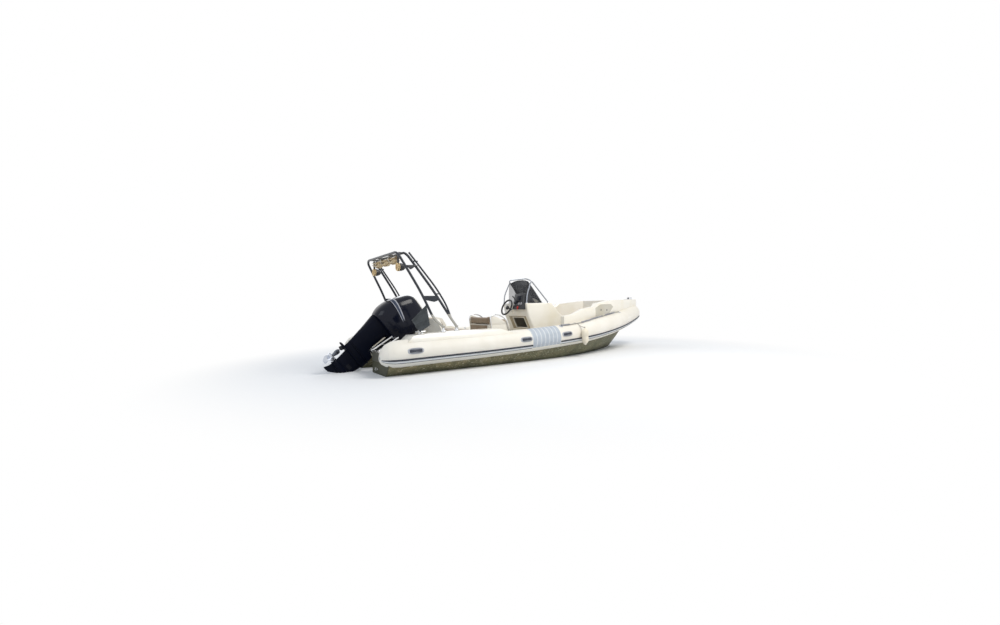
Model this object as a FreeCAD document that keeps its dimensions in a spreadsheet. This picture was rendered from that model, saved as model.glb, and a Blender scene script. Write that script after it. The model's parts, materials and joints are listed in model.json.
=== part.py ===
# An inflatable RIB boat afloat: rigid hull, air tubes, console, seats, tower and a tilted outboard.
# Millimetres. +X to the bow, +Y to port, +Z up. The origin is at the waterline, on the centreline,
# in the plane of the hull's stern corners.

import FreeCAD, Part
import math
import os
import re
import Sketcher

from FreeCAD import Placement, Rotation, Vector

doc = FreeCAD.newDocument("rib_boat")


# Driving dimensions: name, millimetres or degrees, what it is
SIZES = (
    ("chine_inset", 69, "chine inboard of the tube's centre line at the stern"),
    ("hull_stem_x", 6010, "where the stem meets the water"),
    ("hull_nose_x", 6400, "foremost point of the hull under the tube"),
    ("hull_straight_x", 2800, "where the chine starts to curve in"),
    ("hull_forefoot_x", 3800, "where the keel starts to rise"),
    ("keel_depth", 396, "keel below the waterline"),
    ("chine_rise", 330, "height of the chine at the nose"),
    ("flange_drop", 150, "hull top below the tube's centre line"),
    ("flange_reach", 105, "hull top outside the tube's centre line"),
    ("well_half_width", 330, "engine well in the stern"),
    ("transom_x", 460, "aft face of the engine transom"),
    ("transom_thickness", 60, "engine transom"),
    ("transom_top_z", 282, "top of the engine transom"),
    ("platform_z", 360, "top of the stern platforms"),
    ("splash_floor_z", 240, "floor of the splash well"),
    ("splash_half_width", 450, "splash well"),
    ("floor_z", 210, "top of the cockpit floor"),
    ("floor_thickness", 20, "cockpit floor panel"),
    ("cockpit_inset", 249, "cockpit side inboard of the tube's centre line"),
    ("cockpit_aft_x", 1200, "aft end of the cockpit"),
    ("cockpit_fore_x", 4450, "step up to the foredeck"),
    ("tube_radius", 215, "air tube"),
    ("tube_half_spacing", 1049, "tube centre line from the boat's centreline at the stern"),
    ("tube_stern_x", 200, "where the stern cone starts"),
    ("tube_nose_x", 6880, "where the two tubes meet"),
    ("tube_stern_z", 351, "height of the tube's centre line at the stern"),
    ("tube_sheer", 449, "rise of the tube's centre line to the bow"),
    ("cone_length", 307, "stern cone of the tube"),
    ("seat_gap", 0.3, "clearance between a fitting and the tube it lies on"),
    ("strake_angle", -18, "rub strake below the tube's widest line"),
    ("strake_spread", 6, "half of the rub strake's arc in degrees"),
    ("strake_thickness", 16, "rub strake"),
    ("pad_aft_x", 2700, "step pad"),
    ("pad_length", 690, "step pad"),
    ("pad_thickness", 7, "step pad"),
    ("pad_rib_height", 9, "ribs on the step pad"),
    ("handle_length", 270, "tube handle"),
    ("handle_reach", 42, "how far the handle stands off"),
    ("moulding_aft_x", 310, "stern side moulding"),
    ("moulding_length", 2000, "stern side moulding"),
    ("moulding_top_z", 655, "top of the stern side moulding"),
    ("moulding_overhang", 131, "stern side moulding outboard of the tube's centre line"),
    ("moulding_gap", 5, "between the stern side moulding and the coaming"),
    ("bulkhead_top_z", 840, "top of the coaming behind the stern bench"),
    ("bulkhead_thickness", 70, "coaming behind the stern bench"),
    ("wing_length", 740, "side wings of the stern coaming"),
    ("bench_depth", 470, "stern bench seat"),
    ("bench_height", 545, "top of the stern bench box"),
    ("cushion_thickness", 85, "seat cushions"),
    ("helm_aft_x", 2300, "aft face of the helm seat"),
    ("helm_length", 480, "helm seat box"),
    ("helm_half_width", 400, "helm seat box"),
    ("helm_top_z", 700, "top of the helm seat box"),
    ("console_half_width", 440, "console"),
    ("console_aft_x", 3180, "console at the top of its aft face"),
    ("console_length", 1000, "console from its aft face to its nose"),
    ("console_top_z", 1110, "console top"),
    ("console_wall", 14, "console moulding"),
    ("dash_height", 200, "instrument pod above the console top"),
    ("dash_width", 370, "instrument pod"),
    ("dash_centre_y", -200, "instrument pod beside the centreline"),
    ("wheel_y", 100, "steering wheel beside the centreline"),
    ("wheel_x", 3055, "centre of the steering wheel"),
    ("wheel_z", 1031, "centre of the steering wheel"),
    ("wheel_diameter", 360, "steering wheel"),
    ("wheel_rake", 25, "steering wheel tilt from the vertical"),
    ("wheel_shaft_radius", 14, "steering wheel shaft"),
    ("wheel_shaft_length", 195, "steering wheel shaft, from the wheel's plane into the helm unit"),
    ("screen_top_z", 1575, "top of the windscreen"),
    ("screen_thickness", 6, "windscreen"),
    ("rail_top_z", 1620, "top of the rail round the windscreen"),
    ("rail_diameter", 25, "stainless rails"),
    ("bow_aft_x", 3830, "aft end of the bow coaming"),
    ("bow_nose_x", 6990, "front of the bow moulding"),
    ("bow_top_z", 1135, "top of the foredeck"),
    ("bow_inset", 199, "bow coaming inboard of the tube's centre line at its aft end"),
    ("bow_wall", 110, "thickness of the bow coaming"),
    ("bow_lining", 22, "bow moulding between the seat and the tube"),
    ("bow_seat_z", 640, "seat level inside the bow coaming"),
    ("hatch_aft_x", 6060, "anchor locker lid"),
    ("hatch_length", 380, "anchor locker lid"),
    ("hatch_width", 300, "anchor locker lid"),
    ("hatch_thickness", 20, "anchor locker lid"),
    ("hatch_gap", 5, "running gap round a lid"),
    ("hinge_gap", 9, "gap at the hinged edge of a lid"),
    ("tower_tube", 42, "tower hoops"),
    ("tower_stay", 30, "second tube along each fore leg"),
    ("tower_foot_inset", 49, "tower feet inboard of the tube's centre line"),
    ("tower_top_inset", 217, "tower top corners inboard of the tube's centre line"),
    ("tower_top_z", 1989, "top of the tower"),
    ("canopy_thickness", 140, "folded canopy under the tower top"),
    ("pivot_x", 500, "tilt tube of the engine"),
    ("pivot_z", 330, "tilt tube of the engine"),
    ("tilt_rest", 54, "engine tilt in the stored pose"),
    ("steer_offset", 220, "steering axis behind the tilt tube"),
    ("tilt_tube_radius", 16, "tilt tube"),
    ("steer_shaft_radius", 18, "steering shaft"),
    ("shaft_clearance", 0.1, "running clearance round a shaft"),
    ("clamp_half_width", 150, "inner faces of the clamp bracket's arms"),
    ("ram_foot_x", -75, "lower pin of the tilt ram from the tilt tube"),
    ("ram_foot_z", -300, "lower pin of the tilt ram from the tilt tube"),
    ("ram_eye_behind", 100, "rod eye behind the tilt tube, engine upright"),
    ("ram_eye_below", 100, "rod eye below the tilt tube, engine upright"),
    ("ram_pin_radius", 9, "lower pin of the tilt ram"),
    ("ram_rod_radius", 11, "tilt ram rod"),
    ("leg_plate_drop", 645, "ventilation plate below the tilt tube"),
    ("prop_drop", 920, "propeller shaft below the tilt tube"),
    ("prop_radius", 190, "propeller"),
    ("prop_behind", 600, "propeller behind the tilt tube"),
    ("cowl_half_width", 285, "engine cowl"),
    ("cowl_base", 90, "cowl above the tilt tube"),
    ("cowl_height", 765, "engine cowl"),
    ("ladder_spacing", 300, "ladder rails"),
    ("ladder_inset", 419, "ladder inboard of the starboard tube's centre line"),
    ("ladder_length", 400, "ladder"),
    ("ladder_rise", 31, "stored ladder above level"),
    ("ladder_hinge_x", -40, "ladder hinge behind the platform"),
    ("ladder_hinge_z", 385, "ladder hinge"),
    ("eye_radius", 14, "hole of a mooring eye"),
    ("eye_thickness", 12, "mooring eye plate"),
    ("fender_radius", 57, "fender"),
    ("fender_length", 340, "fender"),
    ("fender_x", 3980, "fender"),
    ("strap_width", 24, "webbing that the fender hangs on"),
    ("strap_thickness", 4, "webbing that the fender hangs on"),
    ("line_angle", 101, "bow grab line above the tube's widest line"),
    ("line_aft_x", 3650, "bow grab line"),
    ("line_length", 1440, "bow grab line"),
    ("line_thickness", 20, "bow grab line"),
    ("lid_board", 12, "board under the stern bench cushion"),
    ("lid_barrel", 5, "hinge barrel of a lid"),
    ("flag_thickness", 10, "folded flag cloth on the tower leg"),
)

sizes = doc.addObject("Spreadsheet::Sheet", "Sizes")
for row, (name, value, note) in enumerate(SIZES, start=1):
    sizes.set(f"A{row}", name)
    sizes.set(f"B{row}", str(value))
    sizes.set(f"C{row}", note)
    sizes.setAlias(f"B{row}", name)
doc.recompute()
nodes = {}


def mm(name):
    """A driving dimension from the sheet."""
    return float(sizes.get(name))


def bound(text):
    """The text as an expression on the sheet's cells."""
    return re.sub(r"[a-z_]+", lambda word: "Sizes." + word.group(), text)


def worth(text):
    """What an expression on the sheet's names comes to."""
    return float(sizes.evalExpression(text))


def from_tube(name):
    """A half breadth that keeps its distance inboard of the tube's centre line."""
    return mm("tube_half_spacing") - mm(name)


def keep(label, thing):
    """Name a sub-part and list it as a node."""
    thing.Label = label
    nodes[label] = thing
    return thing


def feature(label, shape):
    """A sub-part whose shape is made by the functions below."""
    thing = doc.addObject("Part::Feature", label)
    thing.Shape = shape
    return keep(label, thing)


# Bodies made from a dimensioned sketch


def draw_profile(body, plane, corners, shift="0"):
    """A closed sketch whose corners are bound to the sheet, in a plane or beside it."""
    sketch = body.newObject("Sketcher::SketchObject", body.Name + "_sketch")
    base = [item for item in body.Origin.OriginFeatures if item.Role == plane][0]
    sketch.AttachmentSupport = [(base, "")]
    sketch.MapMode = "FlatFace"
    sketch.setExpression("AttachmentOffset.Base.z", bound(shift))
    points = [Vector(worth(across), worth(up), 0) for across, up in corners]
    for start, end in zip(points, points[1:] + points[:1]):
        sketch.addGeometry(Part.LineSegment(start, end), False)
    for number, (across, up) in enumerate(corners):
        follower = (number + 1) % len(corners)
        sketch.addConstraint(Sketcher.Constraint("Coincident", number, 2, follower, 1))
        for kind, text, value in (("DistanceX", across, points[number].x), ("DistanceY", up, points[number].y)):
            index = sketch.addConstraint(Sketcher.Constraint(kind, -1, 1, number, 1, value))
            sketch.setExpression(f"Constraints[{index}]", bound(text))
    return sketch


def pad_body(name, plane, corners, width, shift="0"):
    """A profile padded evenly to both sides of its plane."""
    body = doc.addObject("PartDesign::Body", name)
    pad = body.newObject("PartDesign::Pad", name + "_pad")
    pad.Profile = draw_profile(body, plane, corners, shift)
    pad.Midplane = True
    pad.setExpression("Length", bound(width))
    doc.recompute()
    return body


def pocket(body, plane, corners, width):
    """Cut a profile out of a body, evenly to both sides of its plane."""
    before = body.Shape.Volume
    cut = body.newObject("PartDesign::Pocket", body.Name + "_pocket")
    cut.Profile = draw_profile(body, plane, corners)
    cut.Midplane = True
    cut.setExpression("Length", bound(width))
    doc.recompute()
    if body.Shape.Volume >= before:
        raise ValueError(body.Name + ": the pocket cuts nothing")


def round_edges(body, radius, wanted):
    """Fillet the edges of a body's last feature that a test picks."""
    tip = body.Tip
    picked = [f"Edge{n}" for n, edge in enumerate(tip.Shape.Edges, start=1) if wanted(edge)]
    fillet = body.newObject("PartDesign::Fillet", body.Name + "_fillet")
    fillet.Base = (tip, picked)
    fillet.setExpression("Radius", bound(radius))
    doc.recompute()


def block(name, length, width, height, corner):
    """A box bound to the sheet, whose low corner is three expressions."""
    box = doc.addObject("Part::Box", name)
    for prop, text in zip(("Length", "Width", "Height"), (length, width, height)):
        box.setExpression(prop, bound(text))
    for axis, text in zip("xyz", corner):
        box.setExpression("Placement.Base." + axis, bound(text))
    doc.recompute()
    return box


def cushion(label, length, width, height, corner, radius):
    """A plain cushion with rounded edges."""
    box = block(label + "_block", length, width, height, corner)
    soft = doc.addObject("Part::Fillet", label)
    soft.Base = box
    soft.Edges = [(number, radius, radius) for number in range(1, 13)]
    doc.recompute()
    return keep(label, soft)


# Shapes made by Part's own functions


def rounded_path(points, last_share=0.45):
    """Straight runs joined by tangent arcs as large as the runs allow."""
    edges = []
    start = points[0]
    for number in range(1, len(points) - 1):
        before, here, after = points[number - 1], points[number], points[number + 1]
        to_before = (before - here).normalize()
        to_after = (after - here).normalize()
        last = last_share if number == len(points) - 2 else 0.45
        reach = min(0.45 * (before - here).Length, last * (after - here).Length)
        turn = math.pi - to_before.getAngle(to_after)
        radius = reach / math.tan(turn / 2)
        middle = here + (to_before + to_after).normalize() * (radius / math.cos(turn / 2) - radius)
        first = here + to_before * reach
        second = here + to_after * reach
        edges.append(Part.LineSegment(start, first).toShape())
        edges.append(Part.Arc(first, middle, second).toShape())
        start = second
    edges.append(Part.LineSegment(start, points[-1]).toShape())
    return Part.Wire(edges)


def bent_tube(points, diameter):
    """A round tube or rod along a rounded path."""
    path = rounded_path(points) if len(points) > 2 else Part.Wire([Part.LineSegment(*points).toShape()])
    ring = Part.Circle(points[0], points[1] - points[0], diameter / 2).toShape()
    return path.makePipe(Part.Face(Part.Wire([ring])))


def rod(start, end, radius):
    """A straight round rod."""
    return Part.makeCylinder(radius, (end - start).Length, start, end - start)


def prism(points, low, high):
    """An outline in XZ between two planes across the boat."""
    outline = Part.makePolygon([Vector(x, low, z) for x, z in points + points[:1]])
    return Part.Face(outline).extrude(Vector(0, high - low, 0))


def cross_prism(points, aft, fore):
    """An outline in YZ between two stations."""
    outline = Part.makePolygon([Vector(aft, y, z) for y, z in points + points[:1]])
    return Part.Face(outline).extrude(Vector(fore - aft, 0, 0))


def plan_prism(points, low, high):
    """An outline in XY between two heights."""
    outline = Part.makePolygon([Vector(x, y, low) for x, y in points + points[:1]])
    return Part.Face(outline).extrude(Vector(0, 0, high - low))


def box_between(low, high):
    """A box from its low corner to its high corner."""
    return Part.makeBox(high[0] - low[0], high[1] - low[1], high[2] - low[2], Vector(*low))


def mirrored(shape):
    """The same shape on the other side of the centreline."""
    return shape.mirror(Vector(0, 0, 0), Vector(0, 1, 0))


def both_sides(shape):
    return Part.makeCompound([shape, mirrored(shape)])


def joined(shapes):
    """One solid from shapes that meet or cross."""
    return shapes[0].multiFuse(shapes[1:]).removeSplitter()


def rounded_section(z, aft, fore, half_width, corner):
    """A level rectangle with round corners."""
    arc = corner * (1 - math.sqrt(0.5))
    sides = []
    marks = (
        (aft, -half_width + corner, aft, half_width - corner),
        (aft + corner, half_width, fore - corner, half_width),
        (fore, half_width - corner, fore, -half_width + corner),
        (fore - corner, -half_width, aft + corner, -half_width),
    )
    middles = (
        (aft + arc, half_width - arc),
        (fore - arc, half_width - arc),
        (fore - arc, -half_width + arc),
        (aft + arc, -half_width + arc),
    )
    for number, (x1, y1, x2, y2) in enumerate(marks):
        x3, y3 = marks[(number + 1) % 4][:2]
        xm, ym = middles[number]
        sides.append(Part.LineSegment(Vector(x1, y1, z), Vector(x2, y2, z)).toShape())
        sides.append(Part.Arc(Vector(x2, y2, z), Vector(xm, ym, z), Vector(x3, y3, z)).toShape())
    return Part.Wire(sides)


def stacked(rows):
    """A solid through level sections: height, aft, fore, half width, corner."""
    return Part.makeLoft([rounded_section(*row) for row in rows], True, True)


# Air tubes

TUBE_LINE = (
    # share of the length, share of the half spacing, share of the sheer
    (0.000, 1.00, 0.000),
    (0.260, 1.00, 0.060),
    (0.450, 1.00, 0.160),
    (0.615, 0.93, 0.300),
    (0.750, 0.70, 0.480),
    (0.860, 0.44, 0.680),
    (0.945, 0.20, 0.880),
    (0.995, 0.03, 1.000),
    (1.010, -0.06, 1.030),
)

CONE_LINE = (
    # share of the cone's length, share of the tube's radius, share of the radius that the centre drops
    (0.00, 1.00, 0.00),
    (0.40, 0.95, 0.02),
    (0.70, 0.79, 0.07),
    (0.90, 0.54, 0.15),
    (1.00, 0.25, 0.24),
)


def tube_centre_points():
    """Corners of the starboard tube's centre line."""
    length = mm("tube_nose_x") - mm("tube_stern_x")
    return [
        Vector(
            mm("tube_stern_x") + share * length,
            -breadth * mm("tube_half_spacing"),
            mm("tube_stern_z") + rise * mm("tube_sheer"),
        )
        for share, breadth, rise in TUBE_LINE
    ]


tube_path = rounded_path(tube_centre_points())
tube_marks = tube_path.discretize(Number=240)
tube_start = tube_centre_points()[0]


def tube_at(x):
    """Centre of the starboard tube at a station, and its direction there."""
    for first, second in zip(tube_marks, tube_marks[1:]):
        if first.x <= x <= second.x:
            share = (x - first.x) / (second.x - first.x)
            return first + (second - first) * share, (second - first).normalize()
    return tube_start, Vector(1, 0, 0)


def swept_sector(inner, outer, low, high):
    """A band on the starboard tube, between two angles above its widest line."""
    def rim(radius, angle):
        turn = math.radians(angle)
        return tube_start + Vector(0, -radius * math.cos(turn), radius * math.sin(turn))

    middle = (low + high) / 2
    edges = [
        Part.Arc(rim(inner, low), rim(inner, middle), rim(inner, high)).toShape(),
        Part.LineSegment(rim(inner, high), rim(outer, high)).toShape(),
        Part.Arc(rim(outer, high), rim(outer, middle), rim(outer, low)).toShape(),
        Part.LineSegment(rim(outer, low), rim(inner, low)).toShape(),
    ]
    side = tube_path.makePipe(Part.Face(Part.Wire(edges)))
    return side.common(box_between((-1000, -2000, -1000), (9000, -1, 2000)))


def swept_tube(radius):
    """The starboard tube's round part, cut at the centreline."""
    ring = Part.Circle(tube_start, Vector(1, 0, 0), radius).toShape()
    side = tube_path.makePipe(Part.Face(Part.Wire([ring])))
    return side.common(box_between((-1000, -2000, -1000), (9000, 0, 2000)))


def stern_cone(extra):
    """The tapered stern end of the starboard tube."""
    rings = []
    for share, radius, drop in CONE_LINE:
        centre = tube_start - Vector(share * mm("cone_length"), 0, drop * mm("tube_radius"))
        ring = Part.Circle(centre, Vector(1, 0, 0), radius * mm("tube_radius") + extra).toShape()
        rings.append(Part.Wire([ring]))
    return Part.makeLoft(rings, True, True)


def build_tubes():
    side = joined([swept_tube(mm("tube_radius")), stern_cone(0)])
    feature("tube_starboard", side)
    feature("tube_port", mirrored(side))
    loose = joined([swept_tube(mm("tube_radius") + mm("seat_gap")), stern_cone(mm("seat_gap"))])
    return loose.fuse(mirrored(loose))


tube_room = build_tubes()


def build_tube_fittings():
    face = mm("tube_radius") + mm("seat_gap")
    angle = mm("strake_angle")
    spread = mm("strake_spread")
    pad_ends = (mm("pad_aft_x"), mm("pad_aft_x") + mm("pad_length"))
    pad_zone = box_between((pad_ends[0] - 2, -2000, -1000), (pad_ends[1] + 2, 0, 2000))
    dark = swept_sector(face, face + mm("strake_thickness"), angle - spread, angle + spread)
    feature("strake_dark", both_sides(dark.cut(pad_zone)))
    bands = []
    for low, high in ((-2.4, -3.4), (-4.0, -5.0)):
        band = swept_sector(face, face + mm("strake_thickness") / 2, angle + high * 8 / 2, angle + low * 8 / 2)
        bands.append(band.cut(pad_zone))
    feature("strake_light", Part.makeCompound([both_sides(band) for band in bands]))
    build_step_pads(face, pad_ends)
    build_handles(face)
    sleeve = swept_sector(face, face + mm("line_thickness"), mm("line_angle") - 3, mm("line_angle") + 3)
    start = mm("line_aft_x")
    sleeve = sleeve.common(box_between((start, -2000, -1000), (start + mm("line_length"), 0, 2000)))
    feature("bow_lines", both_sides(sleeve))


def build_step_pads(face, pad_ends):
    """Ribbed pads that protect the tube where people step over it."""
    low, high = -34, 84
    base = swept_sector(face, face + mm("pad_thickness"), low, high)
    ribs = swept_sector(face, face + mm("pad_thickness") + mm("pad_rib_height"), low + 2, high - 2)
    zone = box_between((pad_ends[0], -2000, -1000), (pad_ends[1], 0, 2000))
    rib_count = 6
    pitch = mm("pad_length") / rib_count
    slots = [
        box_between((pad_ends[0] + pitch * (n + 0.25), -2000, -1000), (pad_ends[0] + pitch * (n + 0.75), 0, 2000))
        for n in range(rib_count)
    ]
    pad = joined([base.common(zone), ribs.common(Part.makeCompound(slots))])
    feature("step_pads", both_sides(pad))


HANDLES = (
    # station, degrees above the tube's widest line
    (403, 12),
    (2560, 12),
    (3559, 12),
)


def build_handles(face):
    """Moulded grab handles on the tubes' outer sides."""
    half = mm("handle_length") / 2
    handles = []
    for station, angle in HANDLES:
        plate = swept_sector(face, face + 6, angle - 8, angle + 8)
        plate = plate.common(box_between((station - half, -2000, -1000), (station + half, 0, 2000)))
        centre, along = tube_at(station)
        turn = math.radians(angle)
        out = Vector(0, -math.cos(turn), math.sin(turn))
        root = centre + out * (face + 5)
        grip = [
            root - along * (half - 40),
            root - along * (half - 62) + out * mm("handle_reach"),
            root + along * (half - 62) + out * mm("handle_reach"),
            root + along * (half - 40),
        ]
        handles.append(both_sides(joined([plate, bent_tube(grip, 18)])))
    feature("tube_handles", Part.makeCompound(handles))


# Hull

HULL_STATIONS = (0, 0.28, 0.44, 0.56, 0.68, 0.78, 0.87, 0.94, 1.0)


def hull_section(share):
    """Half breadths and heights of the hull at a share of its length."""
    x = share * mm("hull_nose_x")
    fore = max(0.0, (x - mm("hull_straight_x")) / (mm("hull_nose_x") - mm("hull_straight_x")))
    chine_y = from_tube("chine_inset") * (1 - fore ** 2.6)
    chine_z = mm("chine_rise") * fore ** 2
    rise = max(0.0, (x - mm("hull_forefoot_x")) / (mm("hull_stem_x") - mm("hull_forefoot_x")))
    keel_z = -mm("keel_depth") * (1 - rise ** 4)
    centre, along = tube_at(max(x, mm("tube_stern_x") + 1))
    flange_y = -centre.y + mm("flange_reach") * (1 - fore ** 4)
    flange_z = centre.z - mm("flange_drop")
    chine_y = max(chine_y, 12)
    keel_z = min(keel_z, flange_z - 90)
    chine_z = max(min(chine_z, flange_z - 40), keel_z + 30)
    return x, keel_z, chine_y, chine_z, max(flange_y, 20), flange_z


def hull_wire(share):
    x, keel_z, chine_y, chine_z, flange_y, flange_z = hull_section(share)
    half = [(0, keel_z), (chine_y, chine_z), (flange_y, flange_z)]
    ring = half + [(-y, z) for y, z in half[:0:-1]]
    return Part.makePolygon([Vector(x, y, z) for y, z in ring + ring[:1]])


def build_hull():
    """The rigid deep-V hull, decked, with the engine well cut into its stern."""
    body = Part.makeLoft([hull_wire(share) for share in HULL_STATIONS], True, True)
    well = box_between(
        (-500, -mm("well_half_width"), -2000),
        (mm("transom_x"), mm("well_half_width"), 2000),
    )
    cockpit = box_between(
        (mm("transom_x") + mm("transom_thickness"), -from_tube("cockpit_inset"), mm("floor_z") - mm("floor_thickness")),
        (mm("cockpit_fore_x"), from_tube("cockpit_inset"), 2000),
    )
    hull = body.cut(tube_room).cut(well).cut(cockpit)
    hull = max(hull.Solids, key=lambda solid: solid.Volume)
    feature("hull", hull)
    return body


def build_floor():
    floor = block(
        "floor_panel",
        "cockpit_fore_x - cockpit_aft_x",
        "(tube_half_spacing - cockpit_inset) * 2",
        "floor_thickness",
        ("cockpit_aft_x", "cockpit_inset - tube_half_spacing", "floor_z - floor_thickness"),
    )
    keep("floor", floor)


def build_stern_well():
    """Stern platforms, transom head and splash well in one moulding."""
    base_z = mm("floor_z") - mm("floor_thickness")
    width = mm("tube_half_spacing")
    body = box_between((0, -width, base_z), (mm("cockpit_aft_x"), width, mm("platform_z")))
    notch = box_between((-1, -mm("well_half_width"), 0), (mm("transom_x"), mm("well_half_width"), 2000))
    fore = mm("transom_x") + mm("transom_thickness")
    splash = box_between(
        (fore, -mm("splash_half_width"), mm("splash_floor_z")),
        (mm("cockpit_aft_x") - 60, mm("splash_half_width"), 2000),
    )
    head = box_between(
        (0, -mm("well_half_width"), mm("transom_top_z")),
        (fore + 1, mm("well_half_width"), 2000),
    )
    body = body.cut(notch).cut(splash).cut(head).cut(tube_room)
    body = body.cut(nodes["hull"].Shape)
    feature("stern_well", max(body.Solids, key=lambda solid: solid.Volume))


# Stern mouldings and seats


def build_stern_mouldings():
    """Capping on the tubes beside the stern seats, which carries the tower."""
    aft = mm("moulding_aft_x")
    top = mm("moulding_top_z")
    foot = mm("platform_z") + mm("seat_gap")
    fore = aft + mm("moulding_length")
    outline = [
        (aft, foot),
        (aft, top - 120),
        (aft + 110, top - 28),
        (aft + 370, top - 22),
        (aft + 920, top),
        (fore - 220, top),
        (fore, top - 75),
        (fore, foot),
    ]
    outer = mm("tube_half_spacing") + mm("moulding_overhang")
    side = prism(outline, -outer, -from_tube("cockpit_inset") - mm("moulding_gap"))
    bevel = 45
    edge = Part.makePolygon(
        [
            Vector(0, -outer - 1, top + 1),
            Vector(0, -outer + bevel, top + 1),
            Vector(0, -outer - 1, top - bevel * 2),
            Vector(0, -outer - 1, top + 1),
        ]
    )
    side = side.cut(Part.Face(edge).extrude(Vector(4000, 0, 0))).cut(tube_room)
    side = max(side.Solids, key=lambda solid: solid.Volume)
    feature("stern_mouldings", both_sides(side))


def build_stern_coaming():
    """Coaming round the stern bench: a bulkhead, a high port wing and a low starboard side."""
    aft = mm("cockpit_aft_x") - 60
    wall = mm("bulkhead_thickness")
    half = from_tube("cockpit_inset")
    top = mm("bulkhead_top_z")
    base = mm("platform_z")
    step = mm("moulding_top_z") - 15
    bulkhead = cross_prism(
        [(half, base), (half, top), (-half * 0.52, top + 20), (-half * 0.80, top - 150), (-half * 0.84, step), (-half, step), (-half, base)],
        aft,
        aft + wall,
    )
    fore = mm("cockpit_aft_x") + mm("wing_length")
    low = mm("floor_z")
    wing_outline = [
        (aft + wall, low),
        (aft + wall, top),
        (fore - 270, top + 25),
        (fore - 110, top - 10),
        (fore - 30, top - 130),
        (fore, top - 220),
        (fore, low),
    ]
    side_outline = [(aft + wall, low), (aft + wall, step), (fore - 60, step), (fore, step - 60), (fore, low)]
    parts = [bulkhead]
    for outline, sides in ((wing_outline, (half - wall, half)), (side_outline, (-half, wall - half))):
        wing = prism(outline, *sides).cut(tube_room)
        parts.append(max(wing.Solids, key=lambda solid: solid.Volume))
    feature("stern_coaming", joined(parts))


def build_bench():
    """Stern bench: a locker box, a lid board that carries the cushion, and a back cushion."""
    outline = (
        ("cockpit_aft_x + bulkhead_thickness - 58", "floor_z"),
        ("cockpit_aft_x + bulkhead_thickness + bench_depth", "floor_z"),
        ("cockpit_aft_x + bulkhead_thickness + bench_depth + 30", "bench_height"),
        ("cockpit_aft_x + bulkhead_thickness - 58", "bench_height"),
    )
    inside = "tube_half_spacing - cockpit_inset - bulkhead_thickness"
    base = pad_body("bench_box", "XZ_Plane", outline, f"({inside} - 3) * 2")
    locker = (
        ("cockpit_aft_x + bulkhead_thickness + 125", "floor_z + 40"),
        ("cockpit_aft_x + bulkhead_thickness + bench_depth - 60", "floor_z + 40"),
        ("cockpit_aft_x + bulkhead_thickness + bench_depth - 60", "bench_height + 50"),
        ("cockpit_aft_x + bulkhead_thickness + 125", "bench_height + 50"),
    )
    pocket(base, "XZ_Plane", locker, f"({inside} - 55) * 2")
    keep("bench_base", base)
    width = f"({inside} - 20) * 2"
    side = f"20 - ({inside})"
    aft = "cockpit_aft_x + bulkhead_thickness + 110"
    board = block("bench_board", "bench_depth - 100", width, "lid_board", (aft, side, "bench_height + seat_gap"))
    hinge_z = mm("bench_height") + mm("seat_gap") + mm("lid_board") / 2
    hinge = Vector(mm("cockpit_aft_x") + mm("bulkhead_thickness") + 110, 0, hinge_z)
    barrels = [
        Part.makeCylinder(mm("lid_barrel"), 80, hinge + Vector(0, y - 40, 0), Vector(0, 1, 0))
        for y in (-450, 0, 450)
    ]
    feature("bench_lid", joined([board.Shape] + barrels))
    cushion(
        "bench_cushion",
        "bench_depth - 100",
        width,
        "cushion_thickness",
        (aft, side, "bench_height + lid_board + seat_gap * 2"),
        22,
    )
    cushion(
        "bench_backrest",
        "cushion_thickness - 10",
        f"({inside}) * 1.4",
        "bulkhead_top_z - bench_height - 40",
        ("cockpit_aft_x + bulkhead_thickness - 59.7", f"({inside}) * -0.44", "bench_height + 20"),
        22,
    )


def build_helm_seat():
    """Helm seat box with its cushion, backrest and side rails."""
    corners = (
        ("helm_aft_x", "floor_z"),
        ("helm_aft_x + helm_length - 60", "floor_z"),
        ("helm_aft_x + helm_length", "floor_z + 140"),
        ("helm_aft_x + helm_length", "helm_top_z"),
        ("helm_aft_x", "helm_top_z"),
    )
    box = pad_body("helm_box", "XZ_Plane", corners, "helm_half_width * 2")
    round_edges(box, "rail_diameter", lambda edge: abs(edge.tangentAt(edge.FirstParameter).z) > 0.9)
    keep("helm_seat_base", box)
    cushion(
        "helm_cushion",
        "helm_length - 100",
        "helm_half_width * 2 - 40",
        "cushion_thickness",
        ("helm_aft_x + 90", "20 - helm_half_width", "helm_top_z + 0.3"),
        25,
    )
    cushion(
        "helm_backrest",
        "75",
        "helm_half_width * 2 - 40",
        "165",
        ("helm_aft_x + 5", "20 - helm_half_width", "helm_top_z + 0.3"),
        25,
    )
    build_helm_rails()


def build_helm_rails():
    """Stainless hoops at the sides of the helm seat."""
    outer = mm("helm_half_width") + mm("rail_diameter") / 2 + 0.3
    top = mm("helm_top_z")
    aft = mm("helm_aft_x")
    route = [
        Vector(aft + 40, -outer, top - 150),
        Vector(aft + 5, -outer, top + 195),
        Vector(aft + 210, -outer, top + 200),
        Vector(aft + 390, -outer, top + 85),
        Vector(aft + 455, -outer, top - 150),
    ]
    feature("helm_rails", both_sides(bent_tube(route, mm("rail_diameter"))))


# Console


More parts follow.
